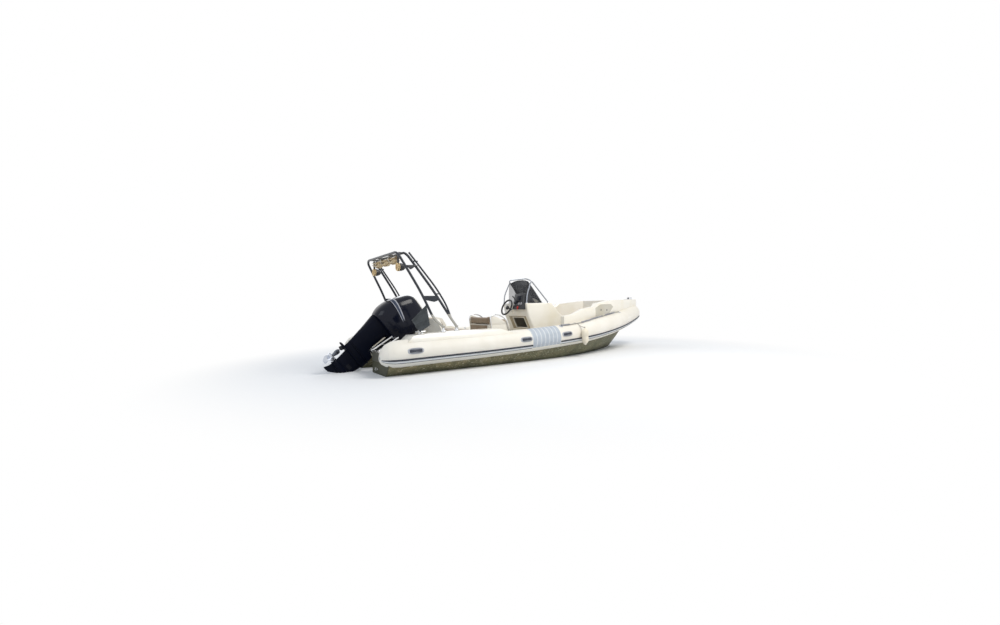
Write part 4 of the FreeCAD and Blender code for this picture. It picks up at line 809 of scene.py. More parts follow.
def button(radius, height, edge, sides=24):
    """A short round boss with a rounded rim, standing on Z = 0."""
    let_go()
    middle = (0, 0, height / 2)
    bpy.ops.mesh.primitive_cylinder_add(vertices=sides, radius=radius, depth=height, location=middle)
    piece = settle(bpy.context.object)
    pick(piece, lambda face: face.normal.z > 0.9)
    bpy.ops.mesh.region_to_loop()
    bpy.ops.mesh.bevel(offset=edge, segments=2, affect="EDGES")
    done()
    return piece


def slab(outline, thickness, edge):
    """A flat plate cut to an outline in XZ, with rounded edges."""
    let_go()
    bpy.ops.mesh.primitive_circle_add(vertices=len(outline), radius=1, fill_type="NGON")
    piece = settle(bpy.context.object)
    for point, (x, z) in zip(piece.data.vertices, outline):
        point.co = (x, -thickness / 2, z)
    pick_all(piece)
    bpy.ops.mesh.extrude_region_move(TRANSFORM_OT_translate={"value": (0, thickness, 0)})
    done()
    outward(piece)
    return round_edges(piece, edge, 40)


MIRROR_Y = Matrix.Scale(-1, 4, (0, 1, 0))
print("making helpers ready")

# %% [markdown]
# ## Mouldings
# A deck is laid up in a mould, so none of its edges is sharp. The frame's solids have knife edges.
# The node itself is never changed: a copy has its loose triangles merged, its flat faces joined, and
# then every edge that turns sharply is bevelled to a small round.

# %% Rounded copies of CAD nodes


def dress(piece, name, slot, finish, angle=35, body="boat"):
    """Shade a piece smooth up to an angle, name it, give it its finish, and let it ride on a body."""
    take(piece)
    bpy.ops.object.shade_smooth_by_angle(angle=math.radians(angle))
    piece.name = name
    piece.data.name = name
    piece.data.materials.clear()
    piece.data.materials.append(finish)
    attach(piece, body)
    return piece


def copy_node(node):
    """A CAD node's mesh in an object of its own, merged into one skin."""
    let_go()
    piece = bpy.data.objects.new(node + "_copy", NODES[node].data.copy())
    bpy.context.collection.objects.link(piece)
    take(piece)
    if piece.data.has_custom_normals:
        bpy.ops.mesh.customdata_custom_splitnormals_clear()
    pick_all(piece)
    bpy.ops.mesh.remove_doubles(threshold=MERGE_REACH)
    done()
    return piece


def softened(node, width, angle=28, finish=None, flatten=1.0):
    """Stand a rounded copy in a node's place."""
    piece = copy_node(node)
    pick_all(piece)
    bpy.ops.mesh.dissolve_limited(angle_limit=math.radians(flatten))
    done()
    if width:
        round_edges(piece, width, angle)
    slot = SLOT_OF[node]
    dress(piece, node + "_skin", slot, finish or FINISH_OF[slot], 40, BODY_OF[node])
    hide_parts(node)
    return piece


SOFT_EDGES = (
    # node, radius of its edges in metres
    ("stern_mouldings", 0.012),
    ("stern_coaming", 0.014),
    ("console", 0.006),
    ("bow_moulding", 0.010),
    ("bow_hatch", 0.003),
    ("helm_seat_base", 0.010),
    ("bench_base", 0.008),
    ("bench_lid", 0.002),
    ("stern_well", 0.008),
    ("floor", 0.004),
    ("dash", 0.008),
    ("clamp_bracket", 0.004),
    ("swivel_bracket", 0.003),
    ("bow_roller", 0.002),
    ("ladder_bracket", 0.002),
    ("mooring_eyes", 0.002),
    ("tower_lamp", 0.003),
    ("tower_feet", 0.003),
    ("tilt_cylinder", 0.002),
    ("tilt_rod", 0.001),
    ("cleats", 0.002),
    ("throttle", 0.002),
)
OTHER_FINISH = {
    "stern_well": STERN_GELCOAT,
    "throttle": BRACKET_PAINT,
    "tower_hoops": TOWER_TUBE,
    "screen_rail": SHADED_RAIL_STEEL,
}
for node, width in SOFT_EDGES:
    softened(node, width, finish=OTHER_FINISH.get(node))
print("rounded", len(SOFT_EDGES), "nodes")

# %% [markdown]
# ## Bent tube
# Rails and hoops have no sharp edges of their own, only the joints between their tubes, and the big
# air tubes have none at all. A merged copy shaded smooth is enough there.

# %% Smooth copies
BENT_TUBES = (
    "tower_hoops", "screen_rail", "helm_rails", "ladder", "tube_starboard", "tube_port", "fender_strap",
)
for node in BENT_TUBES:
    softened(node, 0, flatten=0.05, finish=OTHER_FINISH.get(node))
print("smoothed", len(BENT_TUBES), "bent tubes")

# %% [markdown]
# ## The outboard engine
# It is drawn upright about its tilt tube, where its shape is easy to think of, and then turned with
# one matrix to the 54 degrees at which it is stored. The cowl's silver parts aren't cut into its mesh:
# they are worked out in its paint, in the same upright frame, so that their edges stay crisp.

# %% The engine's own upright frame
TILT = math.radians(54)
CROWN_LOW, CROWN_AFT, CROWN_RISE = 0.812, -0.54, 1.6
LOW_LINE, HIGH_LINE = (0.372, -0.416, 0.197), (0.406, -0.390, 0.290)
PIVOT = Vector((0.5, 0, 0.33))
TILTED = Matrix.Translation(PIVOT) @ Matrix.Rotation(TILT, 4, "Y")
UPRIGHT_SHIFT = -(Matrix.Rotation(-TILT, 3, "Y") @ PIVOT)


def make_cowl_paint():
    """Black paint with a silver crown, and two silver lines that part and fade along each side."""
    color, flake = (0.0035, 0.0050, 0.013), (0.02, 0.026, 0.045)
    paint = Finish("cowl_gloss", color, 0.16, Specular_IOR_Level=0.15, Coat_Roughness=0.05)
    spot = paint.add("ShaderNodeTexCoord", {}, out="Object")
    turned = paint.add("ShaderNodeMapping", {}, spot, Location=tuple(UPRIGHT_SHIFT), Rotation=(0, -TILT, 0))
    x = paint.add("ShaderNodeSeparateXYZ", {}, turned, out="X")
    z = paint.add("ShaderNodeSeparateXYZ", {}, turned, out="Z")
    behind = paint.maths("MAXIMUM", CROWN_AFT - x, 0.0)
    silver = (z - CROWN_LOW - behind * CROWN_RISE).between(-0.002, 0.002)
    # A line's row is its height, the place where it is that high, and its fall per metre forward
    low_line, high_line = (z - (height - (x - place) * fall) for height, place, fall in (LOW_LINE, HIGH_LINE))
    fading = 1 - x.between(-0.42, -0.33)
    thin = (1 - paint.maths("ABSOLUTE", low_line).between(0.004, 0.007)) * fading
    wide = (1 - paint.maths("ABSOLUTE", high_line).between(0.008, 0.012)) * fading
    inner = low_line.between(0.004, 0.008) * (1 - high_line.between(-0.012, -0.008)) * fading
    film = paint.noise(7, detail=6, rough=0.6)
    flakes = paint.cells(900)
    base = paint.blend((1 - flakes).between(0.75, 0.95) * 0.1, color, flake)
    # Painted reflection: the black between the two lines is blended towards blue
    base = paint.blend(inner * 0.75, base, (0.055, 0.07, 0.11))
    lines = paint.maths("MAXIMUM", thin, wide)
    base = paint.blend(lines * 0.9, base, (0.42, 0.43, 0.47))
    aged = paint.blend(film.between(0.3, 0.7), (0.44, 0.42, 0.37), (0.54, 0.52, 0.46))
    paint.feed(Base_Color=paint.blend(silver, base, aged), Roughness=0.13 + film * 0.12 + silver * 0.2)
    paint.feed(Coat_Weight=0.15 + silver * 0.1)
    paint.bump(paint.noise(60, detail=2) + silver * 3, 0.0004, 0.25)
    return paint.material


COWL_GLOSS = make_cowl_paint()
print("engine tilted by", round(math.degrees(TILT)), "degrees")

# %% [markdown]
# ## The cowl
# The real cowl is a single smooth moulding, so it is one skin raised through level sections and then
# subdivided. A rubber seal closes it below, and a latch holds it in front.

# %% Cowl, seal and latch
LEG_POWER = 2.8
COWL_ROWS = (
    # height, aft, fore, half width
    (0.0705, -0.690, -0.045, 0.175),
    (0.0715, -0.728, -0.010, 0.205),
    (0.090, -0.742, 0.000, 0.222),
    (0.167, -0.770, 0.030, 0.268),
    (0.235, -0.785, 0.030, 0.279),
    (0.320, -0.788, 0.025, 0.285),
    (0.420, -0.778, 0.016, 0.284),
    (0.511, -0.755, 0.005, 0.279),
    (0.610, -0.716, -0.020, 0.267),
    (0.702, -0.684, -0.048, 0.250),
    (0.765, -0.655, -0.109, 0.228),
    (0.809, -0.618, -0.159, 0.198),
    (0.838, -0.578, -0.207, 0.160),
    (0.852, -0.548, -0.237, 0.125),
)


def place_on_engine(piece, name, slot, finish):
    """Tilt a piece that was drawn upright, and let it ride on the engine."""
    piece.data.transform(TILTED)
    return dress(piece, name, slot, finish, 40, "engine")


def make_cowl():
    cowl = raise_rings(COWL_ROWS, sides=48)
    pick(cowl, lambda face: len(face.verts) > 10 and face.normal.z > 0.5)
    bpy.ops.mesh.inset(thickness=0.05)
    bpy.ops.transform.translate(value=(0, 0, 0.0025))
    bpy.ops.mesh.inset(thickness=0.05)
    done()
    subdivide(cowl)
    place_on_engine(cowl, "cowl_shell", "cowl_plastic", COWL_GLOSS)
    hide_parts("engine_cowl")


def make_cowl_trim():
    """The rubber seal under the cowl, and its latch."""
    seal_rows = [(0.056, -0.727, -0.126, 0.146), (0.0712, -0.729, -0.120, 0.147)]
    seal = raise_rings(seal_rows, sides=48, power=LEG_POWER)
    place_on_engine(seal, "cowl_seal", "cowl_plastic", MATT_PAINT)
    latch = box((0.022, -0.035, 0.120), (0.036, 0.035, 0.165), 0.004)
    place_on_engine(latch, "cowl_latch", "bracket_paint", BRACKET_PAINT)


make_cowl()
make_cowl_trim()
print("cowl made")

# %% [markdown]
# ## The leg
# Below the cowl an apron narrows into the driveshaft housing, which ends in a flat ventilation plate.
# Under it a thin strut carries the gearcase, a bullet with a fin below. Each is a raised ring again,
# and the gearcase and the propeller's hub are spun.

# %% Apron, housing and strut
LEG_ROWS = (
    # height, aft, fore, half width
    (-0.648, -0.612, -0.118, 0.046),
    (-0.640, -0.612, -0.118, 0.046),
    (-0.515, -0.622, -0.127, 0.056),
    (-0.420, -0.640, -0.136, 0.060),
    (-0.385, -0.646, -0.150, 0.063),
    (-0.362, -0.650, -0.270, 0.066),
    (-0.340, -0.654, -0.284, 0.070),
    (-0.250, -0.668, -0.290, 0.091),
    (-0.150, -0.685, -0.290, 0.113),
    (-0.060, -0.706, -0.290, 0.124),
    (0.030, -0.726, -0.290, 0.135),
    (0.038, -0.728, -0.150, 0.1365),
    (0.052, -0.731, -0.134, 0.140),
    (0.062, -0.733, -0.127, 0.143),
)
STRUT_ROWS = (
    # height, aft, fore, half width
    (-0.925, -0.510, -0.200, 0.020),
    (-0.860, -0.515, -0.185, 0.030),
    (-0.760, -0.528, -0.155, 0.038),
    (-0.668, -0.540, -0.137, 0.045),
    (-0.650, -0.545, -0.130, 0.058),
)
PLATE_ROWS = ((-0.657, -0.700, -0.140, 0.130), (-0.642, -0.700, -0.140, 0.130))
LIP_ROWS = ((-0.521, -0.630, -0.110, 0.068), (-0.511, -0.628, -0.112, 0.070))
GEARCASE_NOSE = Vector((-0.165, 0, -0.92))
GEARCASE_PROFILE = (
    # radius, distance aft of the nose
    (0.0, 0.0), (0.018, 0.004), (0.034, 0.018), (0.047, 0.046), (0.056, 0.090), (0.060, 0.145),
    (0.060, 0.290), (0.057, 0.330), (0.051, 0.362), (0.046, 0.370), (0.0, 0.370),
)
SKEG_OUTLINE = (
    # x, z
    (-0.275, -0.960), (-0.330, -1.010), (-0.400, -1.070), (-0.440, -1.103), (-0.530, -1.113),
    (-0.540, -1.100), (-0.515, -1.030), (-0.505, -0.960),
)
TRIM_TAB_OUTLINE = ((-0.560, -0.660), (-0.640, -0.660), (-0.655, -0.715), (-0.600, -0.735), (-0.575, -0.715))
INTAKE_SLATS, INTAKE_PITCH = 6, 0.016


def make_leg():
    leg = raise_rings(LEG_ROWS, sides=40, power=LEG_POWER)
    subdivide(leg)
    place_on_engine(leg, "leg_housing", "engine_paint", ENGINE_PAINT)
    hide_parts("engine_leg")
    strut = raise_rings(STRUT_ROWS, sides=32)
    subdivide(strut)
    place_on_engine(strut, "leg_strut", "engine_paint", ENGINE_PAINT)
    plate = raise_rings(PLATE_ROWS, sides=56)
    pick(plate, lambda edge: len(edge.link_faces) == 2 and edge.calc_face_angle(0) > 1, "EDGE")
    bpy.ops.mesh.bevel(offset=0.005, segments=3, affect="EDGES")
    done()
    place_on_engine(plate, "ventilation_plate", "engine_paint", MATT_PAINT)
    lip = raise_rings(LIP_ROWS, sides=40)
    place_on_engine(lip, "splash_lip", "engine_paint", ENGINE_PAINT)


def make_gearcase():
    """A bullet along the propeller's axis, with its water intakes and fin."""
    bullet = lathe(GEARCASE_PROFILE, 40)
    put(bullet, Matrix.Translation(GEARCASE_NOSE) @ Matrix.Rotation(math.radians(-90), 4, "Y"))
    place_on_engine(bullet, "gearcase", "engine_paint", ENGINE_PAINT)
    place_on_engine(slab(SKEG_OUTLINE, 0.012, 0.0035), "skeg", "engine_paint", ENGINE_PAINT)
    slats = []
    for side in (-1, 1):
        for number in range(INTAKE_SLATS):
            aft = -0.245 - number * INTAKE_PITCH
            slat = box((aft, -0.0015, -0.83), (aft + 0.006, 0.0015, -0.77), 0.001)
            slats.append(put(slat, Matrix.Translation((0, side * 0.0385, 0))))
    place_on_engine(join(slats), "water_intake", "engine_paint", BRACKET_PAINT)
    place_on_engine(slab(TRIM_TAB_OUTLINE, 0.016, 0.005), "trim_tab", "engine_paint", BRACKET_PAINT)


make_leg()
make_gearcase()
print("leg made")

# %% [markdown]
# ## The propeller
# A blade is wide in the middle, and its twist changes from root to tip, so that all of it bites the
# water at one angle. One is shaped from a grid, given a few millimetres of thickness, and copied
# twice round the hub.

# %% Blades and hub
PROP_CENTRE = Vector((-0.6, 0, -0.92))
BLADE = (
    # reach, chord, pitch in degrees from the axis, sweep
    (0.034, 0.082, 60, 0.000),
    (0.060, 0.108, 56, 0.004),
    (0.095, 0.138, 50, 0.010),
    (0.130, 0.146, 43, 0.018),
    (0.160, 0.126, 38, 0.026),
    (0.180, 0.082, 34, 0.032),
    (0.187, 0.034, 33, 0.034),
)
BLADES, BLADE_COLUMNS = 3, 10
BLADE_CUP, BLADE_RAKE, BLADE_THICKNESS = 0.012, 0.10, 0.0055
HUB_PROFILE = (
    # radius, distance forward of the blades' middle
    (0.0, -0.060), (0.016, -0.060), (0.018, -0.050), (0.030, -0.050), (0.034, -0.062), (0.042, -0.062),
    (0.044, -0.030), (0.048, 0.040), (0.049, 0.056), (0.0, 0.056),
)


def make_blade():
    let_go()
    bpy.ops.mesh.primitive_grid_add(x_subdivisions=BLADE_COLUMNS, y_subdivisions=len(BLADE) - 1, size=2)
    piece = bpy.context.object
    columns = sorted({round(point.co.x, 5) for point in piece.data.vertices})
    rows = sorted({round(point.co.y, 5) for point in piece.data.vertices})
    for point in piece.data.vertices:
        u = columns.index(round(point.co.x, 5)) / (len(columns) - 1) - 0.5
        reach, chord, pitch, sweep = BLADE[rows.index(round(point.co.y, 5))]
        turn = math.radians(pitch)
        along, rise = u * chord + sweep, BLADE_CUP * (1 - 4 * u * u)
        axial = along * math.cos(turn) - rise * math.sin(turn)
        round_way = along * math.sin(turn) + rise * math.cos(turn)
        bow = math.sqrt(max(reach ** 2 - min(abs(round_way), reach * 0.95) ** 2, 0.0001))
        point.co = (axial - reach * BLADE_RAKE, round_way, bow)
    modify(piece, "SOLIDIFY", thickness=BLADE_THICKNESS, offset=0)
    subdivide(piece, 2)
    return outward(piece)


def make_propeller():
    blade = make_blade()
    blades = [blade] + [copy_piece(blade) for _ in range(BLADES - 1)]
    for number, piece in enumerate(blades):
        piece.data.transform(Matrix.Rotation(math.radians(360 / BLADES * number), 4, "X"))
    hub = lathe(HUB_PROFILE, 40)
    put(hub, Matrix.Rotation(math.radians(90), 4, "Y"))
    nut = button(0.013, 0.016, 0.003, 6)
    put(nut, Matrix.Translation((-0.052, 0, 0)) @ Matrix.Rotation(math.radians(-90), 4, "Y"))
    propeller = join([hub, nut] + blades)
    propeller.data.transform(Matrix.Translation(PROP_CENTRE))
    propeller.data.transform(TILTED)
    dress(propeller, "three_blades", "stainless", BLADE_STEEL, 40, "prop")
    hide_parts("propeller")


make_propeller()
print("propeller made")

# %% [markdown]
# ## The line of the tube
# Everything on the tube follows its centre line, so that line is worked out once: the corners of the
# frame's tube, in metres, rounded by tangent arcs. A point on the skin is then a station along the
# line, and an angle above the tube's widest line. The stern cone carries the line on aft.

# %% Where things are on the tube
TUBE_RADIUS = 0.215
CONE_START = 0.2
TUBE_CORNERS = [Vector(corner) for corner in (
    (CONE_START, -1.049, 0.351), (1.937, -1.049, 0.378), (3.206, -1.049, 0.423), (4.308, -0.976, 0.486),
    (5.210, -0.734, 0.567), (5.945, -0.462, 0.656), (6.513, -0.210, 0.746), (6.847, -0.031, 0.800),
    (6.947, 0.063, 0.813),
)]
CONE = (
    # share of the cone's length, share of the radius, share of the radius that the centre drops
    (0.00, 1.00, 0.00), (0.40, 0.95, 0.02), (0.70, 0.79, 0.07), (0.90, 0.54, 0.15), (1.00, 0.25, 0.24),
)
CONE_LENGTH = 0.307


def tangent_arcs(corners, steps=12):
    """Straight runs joined by arcs as large as 45 percent of the shorter run allows."""
    track = [corners[0]]
    for before, here, after in zip(corners, corners[1:], corners[2:]):
        to_before, to_after = (before - here), (after - here)
        reach = 0.45 * min(to_before.length, to_after.length)
        to_before.normalize()
        to_after.normalize()
        half = (math.pi - to_before.angle(to_after)) / 2
        radius = reach / math.tan(half)
        middle = here + (to_before + to_after).normalized() * (radius / math.cos(half))
        first, second = here + to_before * reach, here + to_after * reach
        for step in range(steps + 1):
            share = step / steps
            chord = first.lerp(second, share)
            track.append(middle + (chord - middle).normalized() * radius)
    return track + [corners[-1]]


TUBE_TRACK = tangent_arcs(TUBE_CORNERS)


def tube_at(x):
    """Centre, direction and radius of the starboard tube at a station."""
    start = TUBE_CORNERS[0]
    if x < start.x:
        share = min((start.x - x) / CONE_LENGTH, 1)
        for (low, wide, up), (high, slim, down) in zip(CONE, CONE[1:]):
            if share <= high:
                part = (share - low) / (high - low)
                size = (wide + (slim - wide) * part) * TUBE_RADIUS
                drop = (up + (down - up) * part) * TUBE_RADIUS
                return Vector((x, start.y, start.z - drop)), Vector((1, 0, 0)), size
    for first, second in zip(TUBE_TRACK, TUBE_TRACK[1:]):
        if first.x <= x <= second.x:
            share = (x - first.x) / (second.x - first.x)
            return first.lerp(second, share), (second - first).normalized(), TUBE_RADIUS
    return TUBE_TRACK[-1], (TUBE_TRACK[-1] - TUBE_TRACK[-2]).normalized(), TUBE_RADIUS


def on_tube(x, angle, rise=0.0):
    """A point on the starboard tube's skin, or a little above it."""
    centre, along, radius = tube_at(x)
    side = along.cross(Vector((0, 0, 1))).normalized()
    up = side.cross(along)
    turn = math.radians(angle)
    return centre + (side * math.cos(turn) + up * math.sin(turn)) * (radius + rise)


def band(stations, low, high, rise, steps=6):
    """A closed strip that lies on the tube, crowned across its width, from station to station."""
    let_go()
    bpy.ops.mesh.primitive_grid_add(x_subdivisions=len(stations) - 1, y_subdivisions=steps, size=2)
    piece = bpy.context.object
    last = len(stations) - 1
    for point in piece.data.vertices:
        along, across = (point.co.x + 1) / 2, (point.co.y + 1) / 2
        x = stations[round(along * last)]
        crown = rise * (1 - abs(2 * across - 1) ** 4 * 0.75)
        point.co = on_tube(x, low + (high - low) * across, crown)
    modify(piece, "SOLIDIFY", thickness=rise * 0.9, offset=-1)
    return outward(piece)


def both_sides(piece):
    """A starboard piece together with its mirror image to port."""
    twin = put(copy_piece(piece), MIRROR_Y)
    return join([piece, twin])


def evenly(start, end, count):
    return [start + (end - start) * step / count for step in range(count + 1)]


print("tube line of", len(TUBE_TRACK), "points")

# %% [markdown]
# ## Rub strakes
# A dark strip with pale ones under it runs the whole length of the boat and wraps round the stern
# cone. It is glued in two lengths, because the step pad takes its place where the boat is boarded.

# %% Strakes
STRAKES = (
    # name, slot, finish, lower and upper angle, height off the tube
    ("strake_dark", "strake_rubber", STRAKE_RUBBER, -27.0, -18.4, 0.013),
    ("strake_light", "strake_light_rubber", STRAKE_LIGHT, -36.6, -27.6, 0.008),
    ("strake_line", "strake_light_rubber", LINE_RUBBER, -39.8, -37.0, 0.007),
)
STRAKE_AFT, STRAKE_FORE, PAD_GAP = -0.100, 6.872, 0.003
BOW_CURVE = 6.3
AFT_STATIONS = evenly(STRAKE_AFT, CONE_START, 14)[:-1] + evenly(CONE_START, PAD_AFT - PAD_GAP, 40)
FORE_STATIONS = evenly(PAD_FORE + PAD_GAP, BOW_CURVE, 48)[:-1] + evenly(BOW_CURVE, STRAKE_FORE, 20)


def make_strakes():
    for name, slot, finish, low, high, rise in STRAKES:
        strip = both_sides(join([band(AFT_STATIONS, low, high, rise), band(FORE_STATIONS, low, high, rise)]))
        dress(strip, name + "_band", slot, finish, 50)
        if name in NODES:
            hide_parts(name)


make_strakes()
print("strakes made")

# %% [markdown]
# ## Seams of the tube
# Each tube is divided by bulkheads into chambers. A tape covers the joint outside, and near it sits
# the valve through which that chamber is pumped up.

# %% Tapes, valves and cone cap
SEAMS = (0.205, 1.30, 4.52, 5.62)
TAPE_WIDTH, TAPE_RISE = 0.038, 0.0012
VALVES = (
    # station, angle above the tube's widest line
    (1.05, 118), (2.50, 118), (4.75, 128),
)
VALVE_PROFILE = (
    # radius, height
    (0, 0.006), (0.012, 0.006), (0.014, 0.004), (0.022, 0.004), (0.026, 0.002), (0.027, -0.004), (0, -0.004),
)
CAP_PROFILE = ((0, 0.010), (0.020, 0.008), (0.036, 0.002), (0.042, -0.010), (0.030, -0.030), (0, -0.030))
CONE_TIP = -0.105


def ring_tape(x, width, rise, steps=48):
    """A closed tape round the tube, thickest along its middle."""
    let_go()
    bpy.ops.mesh.primitive_grid_add(x_subdivisions=2, y_subdivisions=steps, size=2)
    piece = bpy.context.object
    for point in piece.data.vertices:
        across, around = point.co.x / 2, (point.co.y + 1) / 2
        lift = rise if abs(across) < 0.1 else rise * 0.35
        point.co = on_tube(x + across * width, 360 * around - 180, lift)
    modify(piece, "SOLIDIFY", thickness=rise * 1.2, offset=-1)
    return outward(piece)


def make_seams():
    for number, x in enumerate(SEAMS):
        tape = both_sides(ring_tape(x, TAPE_WIDTH, TAPE_RISE))
        dress(tape, f"tube_tape_{number}", "tube_fabric", TUBE_FABRIC, 60)
    valves = []
    for x, angle in VALVES:
        place = on_tube(x, angle)
        centre, along, _ = tube_at(x)
        valves.append(put(lathe(VALVE_PROFILE, 28), stand(place, place - centre, along)))
    valves = both_sides(join(valves))
    dress(valves, "tube_valves", "handle_rubber", HANDLE_RUBBER)
    cap = lathe(CAP_PROFILE, 32)
    tip, _, _ = tube_at(CONE_TIP)
    put(cap, stand(tip + Vector((0.004, 0, 0)), (-1, 0, 0), (0, 0, 1)))
    caps = both_sides(cap)
    dress(caps, "cone_caps", "tube_fabric", HANDLE_RUBBER)


make_seams()
print("seams and valves made")

# %% [markdown]
# ## Step pads
# A pale rubber mat is glued over the tube beside the helm, with soft cushioned ribs across it that
# give a foothold. Below the ribs its lower edge carries the line of the strake.

# %% Pads
PAD_LOW, PAD_HIGH = -37, 84
PAD_COLUMNS, PAD_ROWS = 98, 44
PAD_EDGE_RISE, PAD_RISE, PAD_RIB_HEIGHT, PAD_THICKNESS = 0.0015, 0.0045, 0.0085, 0.005
PAD_MARGIN, PAD_RUN_OUT, PAD_RIM = 0.04, 0.035, 0.012


def make_pad():
    """A grid laid on the tube, thin at its rim and ribbed all over but for its two long edges."""
    let_go()
    bpy.ops.mesh.primitive_grid_add(x_subdivisions=PAD_COLUMNS, y_subdivisions=PAD_ROWS, size=2)
    piece = bpy.context.object
    for point in piece.data.vertices:
        along, across = (point.co.x + 1) / 2, (point.co.y + 1) / 2
        wave = 0.5 - 0.5 * math.cos(along * PAD_RIBS * 2 * math.pi)
        rib = wave ** 0.6 * PAD_RIB_HEIGHT
        ends = min(across - PAD_MARGIN, 1 - PAD_MARGIN - across) / PAD_RUN_OUT
        rim = min(1, min(along, 1 - along, across, 1 - across) / PAD_RIM)
        rise = PAD_EDGE_RISE + PAD_RISE * max(rim, 0) + rib * max(0, min(1, ends))
        station = PAD_AFT + (PAD_FORE - PAD_AFT) * along
        point.co = on_tube(station, PAD_LOW + (PAD_HIGH - PAD_LOW) * across, rise)
    modify(piece, "SOLIDIFY", thickness=PAD_THICKNESS, offset=-1)
    return outward(piece)


def make_step_pads():
    pads = both_sides(make_pad())
    dress(pads, "step_pad_mats", "pad_rubber", PAD_RUBBER, 50)
    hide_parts("step_pads")
    strip = both_sides(band(evenly(PAD_AFT + 0.006, PAD_FORE - 0.006, 16), -24, -20, 0.011))
    dress(strip, "pad_strips", "handle_rubber", HANDLE_RUBBER, 50)


make_step_pads()
print("step pads made")

# %% [markdown]
# ## Grab handles
# Each handle is a moulded oval patch glued to the tube, with a dished middle and a strap across it
# to hold. The patch is a disc laid on the tube by station and angle, thick at its rim.

# %% Handles
HANDLES = (
    # station, angle above the tube's widest line
    (0.403, 12), (2.560, 12), (3.559, 12),
)
HANDLE_HALF, HANDLE_SPREAD = 0.135, 13.125
PATCH_INSETS = (0.10, 0.09, 0.10, 0.16, 0.22)
PATCH_SQUARING, PATCH_THICKNESS = 0.24, 0.005
EDGE_RISE, RING_RISE, DISH_RISE = 0.001, 0.0105, 0.0035
STRAP_HALF = HANDLE_HALF * 0.80
STRAP_LEVEL, STRAP_ARCH, STRAP_CROWN, STRAP_THICKNESS = 0.009, 0.030, 0.004, 0.009
STRAP_SPREAD, STRAP_WAIST = 6.4, 1.6


def handle_patch(x, angle):
    """An oval disc of rings: level at its rim, then raised, then dished."""
    let_go()
    bpy.ops.mesh.primitive_circle_add(vertices=40, radius=1, fill_type="NGON")
    piece = bpy.context.object
    pick_all(piece)
    for step in PATCH_INSETS:
        bpy.ops.mesh.inset(thickness=step)
    done()
    for point in piece.data.vertices:
        u, v = point.co.x, point.co.y
        away = min(1, math.hypot(u, v))
        square = 1 + PATCH_SQUARING * min(abs(u), abs(v))
        rise = EDGE_RISE if away > 0.97 else RING_RISE if away > 0.72 else DISH_RISE
        point.co = on_tube(x + u * HANDLE_HALF * square, angle + v * HANDLE_SPREAD * square, rise)
    modify(piece, "SOLIDIFY", thickness=PATCH_THICKNESS, offset=-1)
    subdivide(piece)
    return outward(piece)


def handle_strap(x, angle):
    """A flat strap that rises from one end of the patch and dips to the other."""
    let_go()
    bpy.ops.mesh.primitive_grid_add(x_subdivisions=22, y_subdivisions=6, size=2)
    piece = bpy.context.object
    for point in piece.data.vertices:
        u, v = point.co.x, point.co.y
        height = STRAP_LEVEL + STRAP_ARCH * (1 - u ** 4) - STRAP_CROWN * v * v
        slim = STRAP_SPREAD - STRAP_WAIST * (1 - abs(u))
        point.co = on_tube(x + u * STRAP_HALF, angle + v * slim, height)
    modify(piece, "SOLIDIFY", thickness=STRAP_THICKNESS, offset=-1)
    round_edges(piece, 0.003, segments=2)
    return outward(piece)


def make_handles():
    patches = both_sides(join([handle_patch(x, angle) for x, angle in HANDLES]))
    dress(patches, "handle_patches", "handle_rubber", HANDLE_RUBBER, 60)
    straps = both_sides(join([handle_strap(x, angle) for x, angle in HANDLES]))
    dress(straps, "handle_straps", "handle_rubber", GRIP_RUBBER, 50)
    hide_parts("tube_handles")


make_handles()
print("handles made")

# %% [markdown]
# ## Cushions
# A cushion is foam in a sewn vinyl cover. It starts as the frame's block, drawn in a little, with its
# corners rounded. Cloth simulation blows it up like a bag, so its faces crown and its sides pull in
# between the corners, and no point may move further than foam would let it. The seams are pressed in
# afterwards, and a white piping cord is laid on the finished skin, round the side that is sat on or
# leaned against.

# %% Stuffing a cushion
STUFFING_ROOM = 0.014
SWELL_CAP = 0.016
CROWN = 0.006
PIPING_RADIUS = 0.0032


def swell(piece, voxel, cap, pressure=4.0, frames=20):
    """Blow a closed skin up, holding every point within a distance of where it was."""
    modify(piece, "REMESH", mode="VOXEL", voxel_size=voxel)
    rest = [point.co.copy() for point in piece.data.vertices]
    take(piece)
    cloth = piece.modifiers.new("Swell", "CLOTH")
    cloth.settings.use_pressure = True
    cloth.settings.uniform_pressure_force = pressure
    cloth.settings.effector_weights.gravity = 0
    cloth.point_cache.frame_end = frames
    for frame in range(1, frames + 1):
        bpy.context.scene.frame_set(frame)
    bpy.ops.object.modifier_apply(modifier=cloth.name)
    bpy.context.scene.frame_set(1)
    for point, start in zip(piece.data.vertices, rest):
        move = point.co - start
        if move.length > cap:
            point.co = start + move * (cap / move.length)
    return piece


def hold_within(piece, low, high):
    """Keep a soft piece inside its room, so that it lies flat where it rests."""
    for point in piece.data.vertices:
        point.co = Vector(min(max(value, least), most) for value, least, most in zip(point.co, low, high))
    return piece


def press_seams(piece, seams, depth=0.007, width=0.010):
    """Pull the skin in along planes, as a line of stitches does: (axis number, where)."""
    pushed = []
    for point in piece.data.vertices:
        pull = max(math.exp(-((point.co[axis] - place) / width) ** 2) for axis, place in seams)
        pushed.append(point.co - point.normal * depth * pull)
    for point, place in zip(piece.data.vertices, pushed):
        point.co = place
    return piece


def lay_on(piece, path, radius, closed=True):
    """A thin cord sewn to a cushion: each point of a path is drawn to the nearest skin."""
    track = []
    for point in path:
        _, place, normal, _ = piece.closest_point_on_mesh(point)
        track.append(place + normal * radius * 0.35)
    return wire(track, radius, closed=closed, sides=2)


